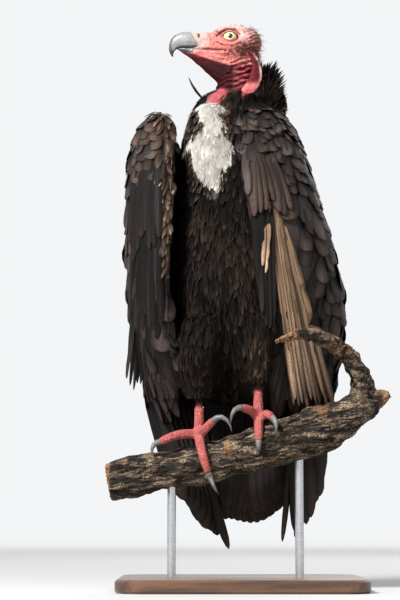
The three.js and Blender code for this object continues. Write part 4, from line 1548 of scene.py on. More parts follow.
@dataclass
class BreastDown:
    """The white down on the breast, with dark feathers closing in on both sides."""

    HANG = np.array([0, 0, 9.0])  # how far a root lies above the place that its vane covers
    form: Form
    marks: Markings

    def build(self) -> None:
        """Makes the down: soft vanes below, fine strands over them."""
        coat = Coat("breast_down", self.form, 32)
        self._layer(coat, Cuts.BODY, 4.6, 1, (14, 20), (-0.6, 0.6), (3.0, 4.4), 31)
        self._layer(coat, Cuts.DOWN, 2.7, 8, (9, 17), (0.1, 1.7), (0.25, 0.6), 35)
        coat.build(DownFinish(), "down", ("crop",))
        self._sides()

    def _layer(
        self, coat: Coat, kind: Cuts, spacing: float, strands: int, length: Pair,
        lift: Pair, half: Pair, seed: int,
    ) -> None:
        """Adds one layer of down.

        Args:
            coat: what it is added to.
            kind: the cut of its vanes.
            spacing: the least distance between two roots.
            strands: how many vanes share a root.
            length: the least and the most length.
            lift: how far above the form they end.
            half: how wide they are.
            seed: which spread.
        """
        roots, _ = self.form.scatter(BREAST, spacing, seed, self._inside)
        drawn = coat.drawn
        roots = np.repeat(roots, strands, 0) + drawn.normal(0, 1.6, (len(roots) * strands, 3))
        roots, normals, _ = self.form.nearest(roots)
        count = len(roots)
        curl = self.marks.grain.at(roots, 17)
        down = DOWNWARD + column_stack([(roots[:, 0] + 28) * 0.008, curl * 0, curl * 0])
        ways = fanned(unit(down), normals, drawn.normal(0, 0.2, count) + curl * 0.8)
        lengths = drawn.uniform(*length, count) * (1 - 0.3 * ease(590 - roots[:, 2], 0, 45))
        end = drawn.uniform(*lift, count) + curl * 1.2
        lines, facing = self.form.lay(roots, ways, lengths, 4, 4.0, end, 0.8)
        # Whiteness varies at random, and with curl as painted shade: strands that lie lower in the billows
        # are greyer.
        tones = self.marks.WHITE * (drawn.uniform(0.86, 1.02, (count, 1)) + 0.1 * curl[:, None])
        coat.spread(kind, lines, facing, half, tones, None, (0, 0.25))

    def _inside(self, places: Array, normals: Array) -> Array:
        """Which roots carry down."""
        return (self.marks.down(places - self.HANG, 3.0) > 0.5) & (normals[:, 1] < 0.35)

    def _beside(self, places: Array, _: Array) -> Array:
        """Which roots beside the patch carry dark feathers."""
        return (self.marks.down(places - self.HANG) < 0.6) & (self.marks.bare_throat(places) < 0.5)

    def _sides(self) -> None:
        """Lays dark feathers over the edges of the patch."""
        roots, normals = self.form.scatter(("crop",), 4.6, 33, self._beside)
        coat = Coat("breast_edges", self.form, 34)
        drawn = coat.drawn
        count = len(roots)
        ways = fanned(np.tile(DOWNWARD, (count, 1)), normals, drawn.normal(0, 0.25, count))
        lengths = drawn.uniform(14, 22, count)
        lines, facing = self.form.lay(roots, ways, lengths, 5, 4.0, drawn.uniform(0.8, 4.0, count), 0.8)
        tones = self.marks.coat(roots) * drawn.uniform(0.8, 1.9, (count, 1))
        tips = mixed(tones, self.marks.BROWN * 2.1, drawn.random(count) * 0.8)
        coat.spread(Cuts.BODY, lines, facing, (2.4, 4.2), tones, tips, (0, 0.2))
        coat.build(PlumageFinish("edge_plumage", soft=0.4), "plumage")


@dataclass
class Ruff:
    """The dark pointed plumes that stand in a fan round the back of the neck."""

    form: Form
    marks: Markings
    middle: Pair = (40.0, 8.0)
    around: Pair = (-92.0, 168.0)
    reach: Pair = (31.0, 43.0)
    top: float = 744.0
    fall: float = 76.0
    plumes: int = 720

    def build(self) -> None:
        """Makes the plumes."""
        coat = Coat("ruff_plumes", self.form, 42)
        drawn = coat.drawn
        count = self.plumes
        angle = np.radians(drawn.uniform(*self.around, count))
        level = drawn.random(count)
        out = column_stack([np.cos(angle), np.sin(angle), np.zeros(count)])
        reach = drawn.uniform(*self.reach, count) * (0.78 + 0.22 * ease(level, 0, 0.5))
        middle = np.array([*self.middle, 0.0])
        tips = middle + out * reach[:, None]
        tips[:, 2] = self.top + 0.25 * tips[:, 1] - self.fall * level + drawn.normal(0, 3, count)
        inner = drawn.uniform(0.05, 0.4, count)
        roots = middle + out * (reach * inner)[:, None]
        roots[:, 2] = tips[:, 2] - 36 + 12 * level
        share = np.linspace(0, 1, 6)[None, :, None]
        lines = roots[:, None] * (1 - share) + tips[:, None] * share
        arch = np.array([0, 0, 1.0]) * np.sin(math.pi * share) * drawn.uniform(0.5, 4.0, count)[:, None, None]
        lines = lines + arch + drawn.normal(0, 1.2, (count, 1, 3))
        round_about = column_stack([-np.sin(angle), np.cos(angle), np.zeros(count)])
        facing = unit(np.cross(round_about, unit(tips - roots)))
        facing = np.repeat(facing[:, None], 6, 1) * np.where(facing[:, 2:3, None] < 0, -1, 1)
        brown = drawn.random(count) ** 0.6 * ease(-angle, -0.6, 0.2) * ease(level, 0.1, 0.45)
        base = mixed(self.marks.DARK, self.marks.BROWN * 2.0, brown)
        ends = self.marks.DARK * drawn.uniform(0.5, 2.2, (count, 1))
        ends = mixed(ends, self.marks.BROWN * 1.5, brown * 0.8)
        coat.spread(Cuts.PLUME, lines, facing, (1.6, 3.2), base, ends, (0, 0.5))
        coat.build(PlumageFinish("ruff_plumage", barbs=20, edge_share=0.2), "plumage")


@dataclass
class Wing:
    """One folded wing: rounded coverts in rows, then the long secondaries under them."""

    form: Form
    marks: Markings
    side: str
    middle: Pair = (5.0, 6.0)
    top: float = 672.0
    low: float = 292.0
    step: float = 23.0  # between two coverts of a row
    drop: float = 17.0  # between two rows
    stray: float = 5.5
    back: float = 90.0  # no feather of the hem ends behind this
    curl: Pair = (280.0, 72.0)  # a covert that ends below and behind this would curl under

    def _row(self, height: float, step: float, shift: float) -> Array:
        """Places along one level row of the wing, a step apart.

        Args:
            height: the row's height.
            step: from one place to the next.
            shift: where the first one lies, in steps.

        Returns:
            The places, one row each.
        """
        sign = SIDES[self.side]
        start = 0.0 if sign > 0 else math.pi
        marks = []
        for angle in start + np.radians(np.arange(-118, 119, 1.5)) * sign:
            out = Vector((math.cos(angle), math.sin(angle), 0))
            place, _, face, _ = self.form.tree.ray_cast(Vector((*self.middle, height)) + out * 400, -out)
            if place is not None and self._is_mine(place, self.form.labels[face]):
                marks.append(tuple(place))
        if len(marks) < 2:
            return np.zeros((0, 3))
        places = np.array(marks)
        far = np.concatenate([[0], np.cumsum(np.linalg.norm(np.diff(places, axis=0), axis=1))])
        stops = np.arange(shift * step, far[-1], step)
        return column_stack([np.interp(stops, far, column) for column in places.T])

    def _is_mine(self, place: Vector, label: str) -> bool:
        """Whether a place on the form carries this wing's feathers."""
        return label.startswith(f"wing_{self.side}")

    def coverts(self) -> None:
        """Makes the rows of coverts."""
        coat = Coat(f"wing_{self.side}_scales", self.form, 50 + SIDES[self.side])
        drawn = coat.drawn
        height, odd = self.top, False
        gathered = []
        while height > self.low:
            size = float(np.interp(height, [290, 420, 520, 600, 672], [0.96, 1.0, 0.9, 0.68, 0.4]))
            roots = self._row(height, self.step * size, 0.5 if odd else 0.0)
            roots = roots + drawn.normal(0, self.stray * size, roots.shape)
            gathered.append(column_stack([roots, np.full(len(roots), size)]))
            height -= self.drop * size
            odd = not odd
        found = np.concatenate(gathered)
        roots, size = found[:, :3], found[:, 3]
        size = size * drawn.uniform(0.76, 1.32, len(size))
        stay = self._keeps_coverts(roots)
        roots, size = roots[stay], size[stay]
        _, normals, _ = self.form.nearest(roots)
        count = len(roots)
        ways = fanned(np.tile(DOWNWARD, (count, 1)), normals, drawn.normal(0, 0.2, count))
        lengths = size * drawn.uniform(38, 50, count)
        lift = 0.3 + 1.6 * drawn.random(count)
        lines, facing = self.form.lay(roots, ways, lengths, 5, 4.5, lift, 0.9)
        tones = self.marks.wing(roots) * drawn.uniform(0.5, 1.6, (count, 1))
        brown = drawn.random(count) * (0.2 + 0.6 * ease(roots[:, 2], 610, 650))
        tips = mixed(tones, self.marks.BROWN * 1.4, brown)
        half = size * drawn.uniform(13.0, 18.0, count)
        turned = drawn.normal(0, TWIST, count)
        stay = (lines[:, -1, 2] > self.curl[0]) | (lines[:, -1, 1] < self.curl[1])
        kept = [values[stay] for values in (lines, facing, half, tones, tips, turned)]
        coat.add(Cuts.COVERT, *kept)
        coat.build(PlumageFinish("covert_plumage", painted_edge_shade=0.75), "plumage")

    def _keeps_coverts(self, roots: Array) -> Array:
        """Leaves out the coverts where long feathers show."""
        raise NotImplementedError

    def secondaries(self, reach: float = 392.0, length: float = 152.0) -> None:
        """Makes the long feathers that come out below the coverts, all round the wing's lower edge.

        Args:
            reach: the height of their roots.
            length: how long the longest are.
        """
        coat = Coat(f"wing_{self.side}_hem", self.form, 54 + SIDES[self.side])
        drawn = coat.drawn
        roots = np.concatenate([self._row(reach, 9.5, 0.0), self._row(reach - 26, 9.5, 0.5)])
        count = len(roots)
        ways = DOWNWARD + drawn.normal(0, 0.03, (count, 3))
        lengths = length * drawn.uniform(0.86, 1.0, count)
        lift = np.repeat([0.2, 0.9], [count - count // 2, count // 2]) + drawn.uniform(0, 0.6, count)
        lines, facing = self.form.lay(roots, ways, lengths, 9, 3.5, lift, 1.0, 0.7)
        stay = lines[:, -1, 1] < self.back
        lines, facing, count = lines[stay], facing[stay], int(stay.sum())
        tones = mixed(self.marks.DARK, self.marks.SLATE, drawn.random(count) * 0.6)
        ends = mixed(tones, self.marks.BROWN, drawn.random(count) * 0.3)
        coat.spread(Cuts.FLIGHT, lines, facing, (8, 10.5), tones, ends, (0.16, 0.06))
        coat.build(PlumageFinish(f"hem_{self.side}_vanes", barbs=90, painted_edge_shade=0.5), "flight_feathers")

    def long_feathers(
        self, name: str, roots: Array, tips: Array, half: Array | float, tones: Array, ends: Array,
        lift: Pair, seed: int, lean: float = 0.0,
    ) -> None:
        """Lays long feathers over the front of the wing.

        Args:
            name: the piece's name.
            roots: where each starts, as x and height.
            tips: where each ends, as x and height.
            half: half width.
            tones: colours.
            ends: the colours at the tips.
            lift: how far above the form the first and last one end.
            seed: which random draw.
            lean: how far each is turned about its shaft.
        """
        coat = Coat(name, self.form, seed)
        count, rows = len(roots), 9
        share = np.linspace(0, 1, rows + 1)
        flat = roots[:, None] * (1 - share[None, :, None]) + tips[:, None] * share[None, :, None]
        lines, facing = np.zeros((count, rows + 1, 3)), np.zeros((count, rows + 1, 3))
        for k, row in product(range(count), range(rows + 1)):
            x, z = flat[k, row]
            place, _, face, _ = self.form.tree.ray_cast(Vector((x, -400, z)), Vector((0, 1, 0)))
            if place is None:
                lines[k, row] = x, lines[k, row - 1, 1], z
                facing[k, row] = facing[k, row - 1]
            else:
                lines[k, row] = place
                facing[k, row] = unit(self.form.normals[self.form.faces[face]].mean(0))
        for _ in range(4):
            facing[:, 1:-1] = unit(facing[:, 1:-1] * 2 + facing[:, :-2] + facing[:, 2:])
            lines[:, 1:-1, 1] = (lines[:, 1:-1, 1] * 2 + lines[:, :-2, 1] + lines[:, 2:, 1]) / 4
        stack = np.linspace(lift[0], lift[1], count)[:, None]
        off = -3.0 + (stack + 3.0) * share[None] ** 0.4
        lines = lines + facing * off[..., None]
        turned = lean + coat.drawn.normal(0, 0.05, count)
        coat.add(Cuts.FLIGHT, lines, facing, half * coat.drawn.uniform(0.85, 1.1, count), tones, ends, turned)
        coat.build(PlumageFinish(f"{name}_vanes", barbs=90, edge_share=0.3, painted_edge_shade=0.8), "flight_feathers")


@dataclass
class LeftWing(Wing):
    """The wing on the bird's left, whose bleached inner secondaries show in front."""

    side: str = "left"

    def build(self) -> None:
        """Makes the wing."""
        self.coverts()
        self.secondaries()
        marks = self.marks
        drawn = np.random.default_rng(61)
        k = np.arange(15)
        roots = column_stack([51 + 1.9 * k, 530 - 3 * k]) + drawn.normal(0, (0.8, 4), (15, 2))
        tips = column_stack([84 + 4.4 * k, 258 + 8 * np.sin(2.1 * k)]) + drawn.normal(0, (1.8, 3), (15, 2))
        tones = marks.TAN * drawn.uniform(0.7, 1.5, (15, 1))
        tones = mixed(tones, marks.BROWN * 1.5, (drawn.random(15) < 0.2) * 0.8)
        ends = mixed(tones, marks.BROWN * 1.5, 0.5 + 0.5 * drawn.random(15))
        half = drawn.uniform(4.2, 7.8, 15)
        self.long_feathers("wing_left_secondaries", roots, tips, half, tones, ends, (0.2, 2.6), 62, 0.3)
        k = np.arange(8)
        roots = column_stack([15 + 5.2 * k, 607 - 2 * k]) + drawn.normal(0, 1.8, (8, 2))
        tips = column_stack([21 + 8.4 * k, 519 - 0.6 * k]) + drawn.normal(0, (2.5, 8), (8, 2))
        tones = mixed(marks.SLATE * 1.5, marks.BROWN * 1.7, drawn.random(8)) * drawn.uniform(0.5, 1.4, (8, 1))
        half = drawn.uniform(6.5, 9.6, 8)
        self.long_feathers("wing_left_fan", roots, tips, half, tones, tones * 0.7, (4.8, 3.2), 63, -0.28)
        k = np.arange(9)
        roots = column_stack([24 + 3.6 * k, 556 - 4 * k])
        tips = column_stack([35 + 2.4 * k, 408 - 9 * k + 16 * np.sin(2.6 * k)])
        tones = marks.DARK * drawn.uniform(0.7, 3.2, (9, 1))
        roots[5], tips[5], tones[5] = (42, 496), (39, 438), marks.TAN * 0.8
        roots[7], tips[7], tones[7] = (49, 500), (44, 430), marks.TAN
        self.long_feathers("wing_left_inner", roots, tips, 5.0, tones, tones, (3.0, 1.6), 64, -0.3)

    def _is_mine(self, place: Vector, label: str) -> bool:
        """Whether a place on the form carries this wing's feathers."""
        return super()._is_mine(place, label) or bool(self.marks.shoulder(np.array([place]))[0])

    def _keeps_coverts(self, roots: Array) -> Array:
        """Leaves out the coverts over the bleached feathers, the fan above them and the inner edge.

        Args:
            roots: where the coverts start.

        Returns:
            Which of them stay.
        """
        x, y, z = roots.T
        front = y < np.interp(x, [50, 120], [30, -10])
        limit = np.interp(z, [300, 345, 400, 440, 470, 500, 530, 548], [124, 114, 114, 114, 106, 92, 87, 80])
        bleached = (z < 548) & (z > 300) & (x > 24) & (x < limit)
        fan = (x < np.interp(z, [520, 560, 606], [62, 70, 62])) & (z < 606) & (z > 500)
        inner = (x < 60) & (z < 510)
        return ~(front & (bleached | fan | inner))


@dataclass
class RightWing(Wing):
    """The wing on the bird's right, dark, with a brown leading edge."""

    side: str = "right"
    tiers: tuple[tuple[float, float, int], ...] = ((430, 282, 10), (520, 372, 10), (592, 474, 8))

    def build(self) -> None:
        """Makes the wing."""
        self.coverts()
        self.secondaries()
        marks = self.marks
        drawn = np.random.default_rng(71)
        for tier, (high, low, count) in enumerate(self.tiers):
            k = np.arange(count)
            share = k / (count - 1)
            roots = column_stack([-134 + 34 * share, high + drawn.normal(0, 5, count)])
            spread = np.interp(low, [282, 372, 474], [44, 46, 40])
            tips = column_stack([-147 + 3 * tier + spread * share, low + drawn.normal(0, 13, count)])
            tones = mixed(marks.DARK, marks.SLATE, drawn.random(count) ** 2 * 0.7)
            ends = mixed(tones, marks.BROWN * 0.6, drawn.random(count) * 0.3)
            name = f"wing_right_tier_{tier + 1}"
            self.long_feathers(name, roots, tips, 5.8, tones, ends, (0.4 + tier, 2.2 + tier), 72 + tier, 0.3)
        self._edge_scales()

    def _on_edge(self, places: Array, _: Array) -> Array:
        """Which places lie on the leading edge."""
        return self.marks.leading_edge(places) > 0.35

    def _edge_scales(self) -> None:
        """Makes the small brown feathers of the leading edge."""
        coat = Coat("wing_right_edge", self.form, 76)
        drawn = coat.drawn
        names = [name for name in WINGS if "right" in name]
        roots, normals = self.form.scatter(names, 6.0, 77, self._on_edge)
        count = len(roots)
        way = np.array([-0.25, 0, -1.0])
        ways = fanned(np.tile(unit(way), (count, 1)), normals, drawn.normal(0, 0.25, count))
        lengths = drawn.uniform(17, 27, count)
        lines, facing = self.form.lay(roots, ways, lengths, 4, 2.5, 0.8 + 1.4 * drawn.random(count), 0.9)
        tones = self.marks.wing(roots) * drawn.uniform(0.6, 1.2, (count, 1))
        tips = tones * drawn.uniform(0.7, 2.4, (count, 1))
        coat.spread(Cuts.BODY, lines, facing, (3.6, 5.6), tones, tips, (0, TWIST))
        coat.build(PlumageFinish("edge_scales", painted_edge_shade=0.6), "plumage")

    def _keeps_coverts(self, roots: Array) -> Array:
        """Leaves out the coverts over the long feathers and on the leading edge.

        Args:
            roots: where the coverts start.

        Returns:
            Which of them stay.
        """
        x, _, z = roots.T
        long = (self.form.nearest(roots)[1][:, 1] < -0.45) & (z < 580) & (x < -97)
        return ~(long | (self.marks.leading_edge(roots) > 0.5))


@dataclass(frozen=True)
class Bundle:
    """A bundle of straight quills, from its first one's root and tip to its last one's."""

    count: int
    roots: tuple[Row, Row]
    tips: tuple[Row, Row]
    half: float
    facing: Row
    lone: tuple[Row, Row]  # root and tip of one that stands apart
    wave: Pair
    bow: float = 6.0


@dataclass
class Quills:
    """The primaries of both wings and the tail, as long stiff feathers."""

    form: Form
    marks: Markings
    left: Bundle = Bundle(
        6, ([84, 46, 300], [128, 66, 312]), ([92, 62, 70], [126, 74, 128]), 12.5, (0.5, -0.86, 0),
        ([90, 42, 300], [71, 56, 66]), (6.0, 9.0),
    )
    right: Bundle = Bundle(
        7, ([-122, 52, 312], [-62, 76, 300]), ([-66, 62, 124], [-20, 80, 70]), 17.5, (-0.55, -0.83, 0),
        ([-78, 68, 300], [-4, 70, 56]), (5.0, 8.0),
    )
    tail_feathers: int = 12

    def build(self) -> None:
        """Makes the three pieces."""
        for side, bundle, seed in (("left", self.left, 81), ("right", self.right, 82)):
            self._bundle(side, bundle, seed)
        self._tail()

    def _lines(self, roots: Array, tips: Array, facing: Array, bow: float) -> tuple[Array, Array]:
        """Bowed middle lines from roots to tips, and their normals.

        Args:
            roots: where they start.
            tips: where they end.
            facing: one normal for each.
            bow: how far the middle stands off, in millimetres.

        Returns:
            The middle lines and the normals along them.
        """
        share = np.linspace(0, 1, 11)[None, :, None]
        lines = roots[:, None] * (1 - share) + tips[:, None] * share
        lines = lines + facing[:, None] * bow * np.sin(math.pi * share)
        return lines, np.repeat(facing[:, None], 11, 1)

    def _bundle(self, side: str, bundle: Bundle, seed: int) -> None:
        """Makes one wing's primaries, with one more that stands apart.

        Args:
            side: which wing.
            bundle: their places and sizes.
            seed: which random draw.
        """
        name = f"wing_{side}_quills"
        coat = Coat(name, self.form, seed)
        k = np.arange(bundle.count)[:, None] / (bundle.count - 1)
        roots = np.array(bundle.roots[0]) * (1 - k) + np.array(bundle.roots[1]) * k
        tips = np.array(bundle.tips[0]) * (1 - k) + np.array(bundle.tips[1]) * k
        tips[:, 2] += bundle.wave[0] * np.sin(bundle.wave[1] * k[:, 0])
        roots, tips = np.vstack([roots, bundle.lone[0]]), np.vstack([tips, bundle.lone[1]])
        count = len(roots)
        facing = np.repeat(unit(np.array([bundle.facing], float)), count, 0)
        lines, normals = self._lines(roots, tips, facing, bundle.bow)
        half = np.full(count, bundle.half)
        half[-1] *= 0.5
        tones = self.marks.DARK * coat.drawn.uniform(0.7, 1.5, (count, 1))
        ends = mixed(tones, self.marks.BROWN, coat.drawn.random(count) * 0.5)
        coat.add(Cuts.FLIGHT, lines, normals, half, tones, ends, coat.drawn.normal(0.12, 0.05, count))
        behind = lines - normals * 2.6 + np.array([0, 0, 9.0])
        coat.add(Cuts.FLIGHT, behind[:-1], normals[:-1], half[:-1] * 0.9, tones[:-1] * 0.8, ends[:-1], -0.1)
        finish = PlumageFinish(f"{name}_vanes", barbs=120, painted_edge_shade=0.6)
        coat.build(finish, "flight_feathers", (f"wing_{side}_primaries",))

    def _tail(self) -> None:
        """Makes the tail, with worn ends."""
        coat = Coat("tail_feathers", self.form, 83)
        drawn = coat.drawn
        k = np.arange(self.tail_feathers) / (self.tail_feathers - 1)
        off = np.abs(k - 0.5) * 2
        roots = column_stack([20 + (k - 0.5) * 82, 62 + 5 * (1 - off), np.full(len(k), 316.0)])
        ends = 92 + 34 * np.maximum(k - 0.35, 0) ** 1.3 + 6 * np.sin(7 * k)
        tips = column_stack([-26 + 98 * k, 80 + 10 * (1 - off), ends])
        facing = np.tile([0.0, -1.0, 0.0], (len(k), 1))
        lines, normals = self._lines(roots, tips, facing, -5.0)
        tones = self.marks.DARK * drawn.uniform(0.6, 2.2, (len(k), 1))
        worn = mixed(tones, self.marks.BROWN, drawn.random(len(k)) ** 2 * 0.6)
        turned = drawn.normal(0.08, 0.04, len(k))
        coat.add(Cuts.FLIGHT, lines, normals, 19.5, tones, worn, turned)
        front = lines - np.array([0, 3.0, -14.0])
        coat.spread(Cuts.FLIGHT, front, normals, (12, 18), tones * 1.2, worn, (-0.1, 0.04))
        finish = PlumageFinish("tail_vanes", barbs=120, edge_share=0.5, painted_edge_shade=0.5)
        coat.build(finish, "flight_feathers", ("tail",))


@dataclass(frozen=True)
class Tuft:
    """Bristles round one place on the head: where, how far they spread, how many and how long."""

    at: Pair
    spread: Pair
    count: int
    length: Pair
    tone: Colour
    way: Pair
    stand: float = 0.5


@dataclass
class Bristles:
    """Short dark bristles on the nape, brows and ears, and a loose feather at the throat."""

    form: Form
    skin: Piece
    lowest: float = 690.0  # no bristle roots below this
    tufts: tuple[Tuft, ...] = (
        Tuft((-24, -18), (9, 7), 260, (2.5, 5.5), (0.075, 0.03, 0.016), (-0.7, -0.7), 0.35),
        Tuft((-9, -21), (9, 5), 130, (2, 4.5), (0.09, 0.035, 0.02), (-0.8, -0.5), 0.35),
        Tuft((-34, 4), (9, 12), 150, (4, 8), (0.06, 0.035, 0.025), (-1, -0.2), 0.7),
        Tuft((-38, -24), (5, 15), 150, (4, 8), (0.06, 0.035, 0.025), (-1, -0.4), 0.7),
        Tuft((-8, 20), (20, 5), 90, (2, 4.5), (0.2, 0.1, 0.08), (-1, 0.1), 0.6),
        Tuft((20, 8), (5, 4), 110, (1.5, 2.8), (0.03, 0.018, 0.012), (-0.9, 0.3), 0.35),
        Tuft((16, -6), (6, 5), 60, (1.8, 3.2), (0.1, 0.03, 0.02), (-1, -0.4), 0.3),
        Tuft((4, -26), (12, 8), 70, (2, 3.5), (0.1, 0.03, 0.025), (-1, -0.5), 0.3),
    )

    def build(self) -> None:
        """Makes the bristles."""
        places = places_of(self.skin)
        faces = (tuple(face.vertices) for face in self.skin.data.polygons)
        corners = [face for face in faces if places[face[0], 2] > self.lowest]
        tree = BVHTree.FromPolygons(places.tolist(), corners)
        coat = Coat("head_bristles", self.form, 91)
        for tuft, sign in product(self.tufts, SIDES.values()):
            self._tuft(coat, tree, tuft, sign)
        self._loose_feather(coat)
        coat.build(PlumageFinish("bristle_plumage", barbs=2, edge_share=0.0), "plumage")

    def _tuft(self, coat: Coat, tree: BVHTree, tuft: Tuft, sign: int) -> None:
        """Adds one tuft on one side of the head.

        Args:
            coat: what it is added to.
            tree: the skin's own faces.
            tuft: its place and size.
            sign: 1 for the left side and -1 for the right.
        """
        drawn = coat.drawn
        forward = drawn.normal(tuft.at[0], tuft.spread[0], tuft.count)
        rise = drawn.normal(tuft.at[1], tuft.spread[1], tuft.count)
        lines, facing = [], []
        way = np.array([-tuft.way[0], 0, tuft.way[1]])
        for f, r in zip(forward, rise):
            start = Vector((HEAD_AT[0] - f, HEAD_AT[1] - sign * 60, HEAD_AT[2] + r))
            place, normal, _, _ = tree.ray_cast(start, Vector((0, sign, 0)), 58)
            if place is None or (f / 12) ** 2 + (r / 9) ** 2 < 1:  # none grow on the eye
                continue
            normal, place = np.array(normal), np.array(place)
            flat = unit(way + drawn.normal(0, 0.3, 3) - normal * (way @ normal))
            length = drawn.uniform(*tuft.length)
            tip = place + (flat + normal * tuft.stand * drawn.uniform(0.4, 1.3)) * length
            lines.append([place - normal * 0.4, (place + tip) / 2 + normal * 0.25 * length * tuft.stand, tip])
            facing.append([normal] * 3)
        count = len(lines)
        tones = np.array(tuft.tone) * drawn.uniform(0.5, 1.6, (count, 1))
        coat.add(Cuts.BRISTLE, np.array(lines), np.array(facing), drawn.uniform(0.16, 0.3, count), tones)

    def _loose_feather(self, coat: Coat) -> None:
        """Adds the loose dark feather that stands up from the throat.

        Args:
            coat: what it is added to.
        """
        share = np.linspace(0, 1, 6)[:, None]
        root, tip = np.array([-39.0, -64.0, 673.0]), np.array([-61.0, -72.0, 704.0])
        line = root * (1 - share) + tip * share + np.array([-1.5, -1, -2]) * np.sin(math.pi * share)
        facing = np.tile(unit(np.array([0.4, -0.9, 0.2])), (6, 1))
        coat.add(Cuts.PLUME, line[None], facing[None], 2.6, np.array([[0.016, 0.013, 0.012]]))


# Horn, eyes, perch and stand.


@dataclass
class Bill:
    """The horn of the bill, upper and lower, with dark cutting edges and painted shade along the upper bill's
    front outline.
    """

    voxel: float = 0.8

    def build(self) -> None:
        """Makes both pieces."""
        for name in ("bill_upper", "bill_lower"):
            piece = welded(f"{name}_horn", [node_copy(name, 0.25)], self.voxel, 3)
            places = places_of(piece)
            forward, rise = HEAD_AT[0] - places[:, 0], places[:, 2] - HEAD_AT[2]
            if name == "bill_upper":
                edge = np.interp(forward, [48, 60, 70, 76, 79], [-11.5, -11.6, -11.0, -12.5, -17])
                # front: the upper bill's front outline at each height; the horn within a few millimetres of
                # it is darkened as painted shade, where it turns away.
                front = np.interp(rise, [-23, -20, -13, -6, 1, 8, 11], [79.3, 81.7, 84, 84.4, 81.7, 75.9, 66])
                dark = ease(edge + 2.0 - rise, 0, 2.2) + 0.85 * ease(forward - front, -4, -1.2)
                dark = dark + 0.25 * ease(-rise, 14, 22)
            else:
                edge = np.interp(forward, [50, 64, 76], [-12.6, -11.6, -12.2])
                dark = ease(rise - edge + 2.0, 0, 2.5) * 0.9 + ease(forward, 54, 61) * 0.8
            paint(piece, "edge", column_stack([np.clip(dark, 0, 1)] * 3))
            settle(piece, HornFinish(f"{name}_horn"), (name,))


@dataclass
class Claws:
    """The eight claws, darker towards their points."""

    voxel: float = 0.75
    pale: Colour = (0.15, 0.138, 0.126)
    dark: Colour = (0.013, 0.012, 0.012)

    def build(self) -> None:
        """Makes each claw."""
        for name in CLAWS:
            piece = welded(f"{name}_horn", [node_copy(name, 0.25)], self.voxel, 3)
            places = places_of(piece)
            low = ease(places[:, 2].max() - places[:, 2], 4, float(np.ptp(places[:, 2])))
            paint(piece, "edge", column_stack([low * 0.6] * 3))
            settle(piece, HornFinish(f"{name}_horn", self.pale, self.dark), (name,))


@dataclass
class Eyes:
    """Two eyes with a bulging cornea."""

    cornea: float = 6.4
    bulge: float = 0.8

    def build(self) -> None:
        """Makes both eyes."""
        for side, sign in SIDES.items():
            middle = HEAD_AT + np.array([0, -sign * EYE_OUT, -0.5])
            bpy.ops.object.select_all(action="DESELECT")
            bpy.ops.mesh.primitive_uv_sphere_add(
                segments=56, ring_count=32, radius=EYE_RADIUS * MM,
                location=to_frame(middle), rotation=(math.pi / 2, 0, 0),
            )
            piece = bpy.context.active_object
            piece.name = piece.data.name = f"eyeball_{side}"
            bpy.ops.object.transform_apply()
            places = places_of(piece)
            off = np.hypot(places[:, 0] - middle[0], places[:, 2] - middle[2])
            outer = (places[:, 1] - middle[1]) * -sign > 0
            places[:, 1] -= sign * outer * self.bulge * np.clip(1 - (off / self.cornea) ** 2, 0, 1)
            move_to(piece, places)
            bpy.ops.object.shade_smooth()
            settle(piece, EyeFinish(f"eye_{side}", middle), (f"eye_{side}",))


@dataclass
class Perch:
    """The cut length of branch, with cracked bark, and torn wood at the broken side branch and both ends."""

    voxel: float = 1.9

    def build(self) -> None:
        """Makes the branch."""
        piece = welded("perch_branch", [node_copy("perch", 0.6)], self.voxel, 4)
        places, normals = places_of(piece), normals_of(piece)
        grain = Grain(101)
        x, y, z = places.T
        stub = ((z > 268) & (x > 40))[:, None]
        along = np.where(stub, places * 0.7, column_stack([x * 0.16, y, z - 0.31 * x]))
        bend = column_stack([grain.at(places + shift, 42) for shift in (0, 90, 170)]) * 4
        ridge = 1 - np.abs(grain.at(along + bend, 6.5)) * 2.6
        crack = ease(ridge, 0.5, 0.95) * ease(grain.at(places, 26), -0.5, 0.1)
        cross = ease(1 - np.abs(grain.at(column_stack([x, y * 0.4, z * 0.4]) + bend, 15)) * 4, 0.6, 0.95)
        cross = cross * ease(grain.at(places + 50, 18), 0.0, 0.4)
        flakes = grain.at(along * 1.3 + 30, 8) * 1.1
        knobs = grain.at(places, 28) * 4.2 + grain.at(places, 11) * 1.6 + flakes
        torn = np.maximum.reduce([
            ease(x, 204, 212),
            ease(-x, 168, 172),
            ease(26 - np.hypot(x - 152, z - 334), 0, 10) * ease(grain.at(places, 10), -0.1, 0.3),
            ease(grain.at(places + 200, 34), 0.56, 0.7) * 0.6,
            ease(92 - x, 0, 14) * ease(z, 300, 315),
        ])
        splinter = grain.at(column_stack([x * 0.3, y * 1.2, z]), 3.2)
        depth = -3.2 * crack - 1.8 * cross + knobs * (1 - torn) + torn * (splinter * 1.8 - 0.8)
        move_to(piece, places + normals * (depth - 0.8)[:, None])
        shade = grain.at(places, 40) * 0.5 + 0.5
        # How dark the cracks are painted, as the shade in them.
        deep = np.maximum(crack, cross * 0.7) * 0.7
        paint(piece, "bark", np.clip(column_stack([deep, torn, shade]), 0, 1))
        settle(piece, BarkFinish(), ("perch",))


class Stand:
    """The display stand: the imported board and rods, finished in stained wood and steel."""

    def build(self) -> None:
        """Dresses the board and the rods."""
        rods = ("stand_rod_1", "stand_rod_2")
        for names, finish in ((("stand_base",), BoardFinish()), (rods, SteelFinish())):
            material = finish.make()
            for name in names:
                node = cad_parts[name]
                node.data.materials.clear()
                node.data.materials.append(material)
                LOG.info("%s: dressed", name)


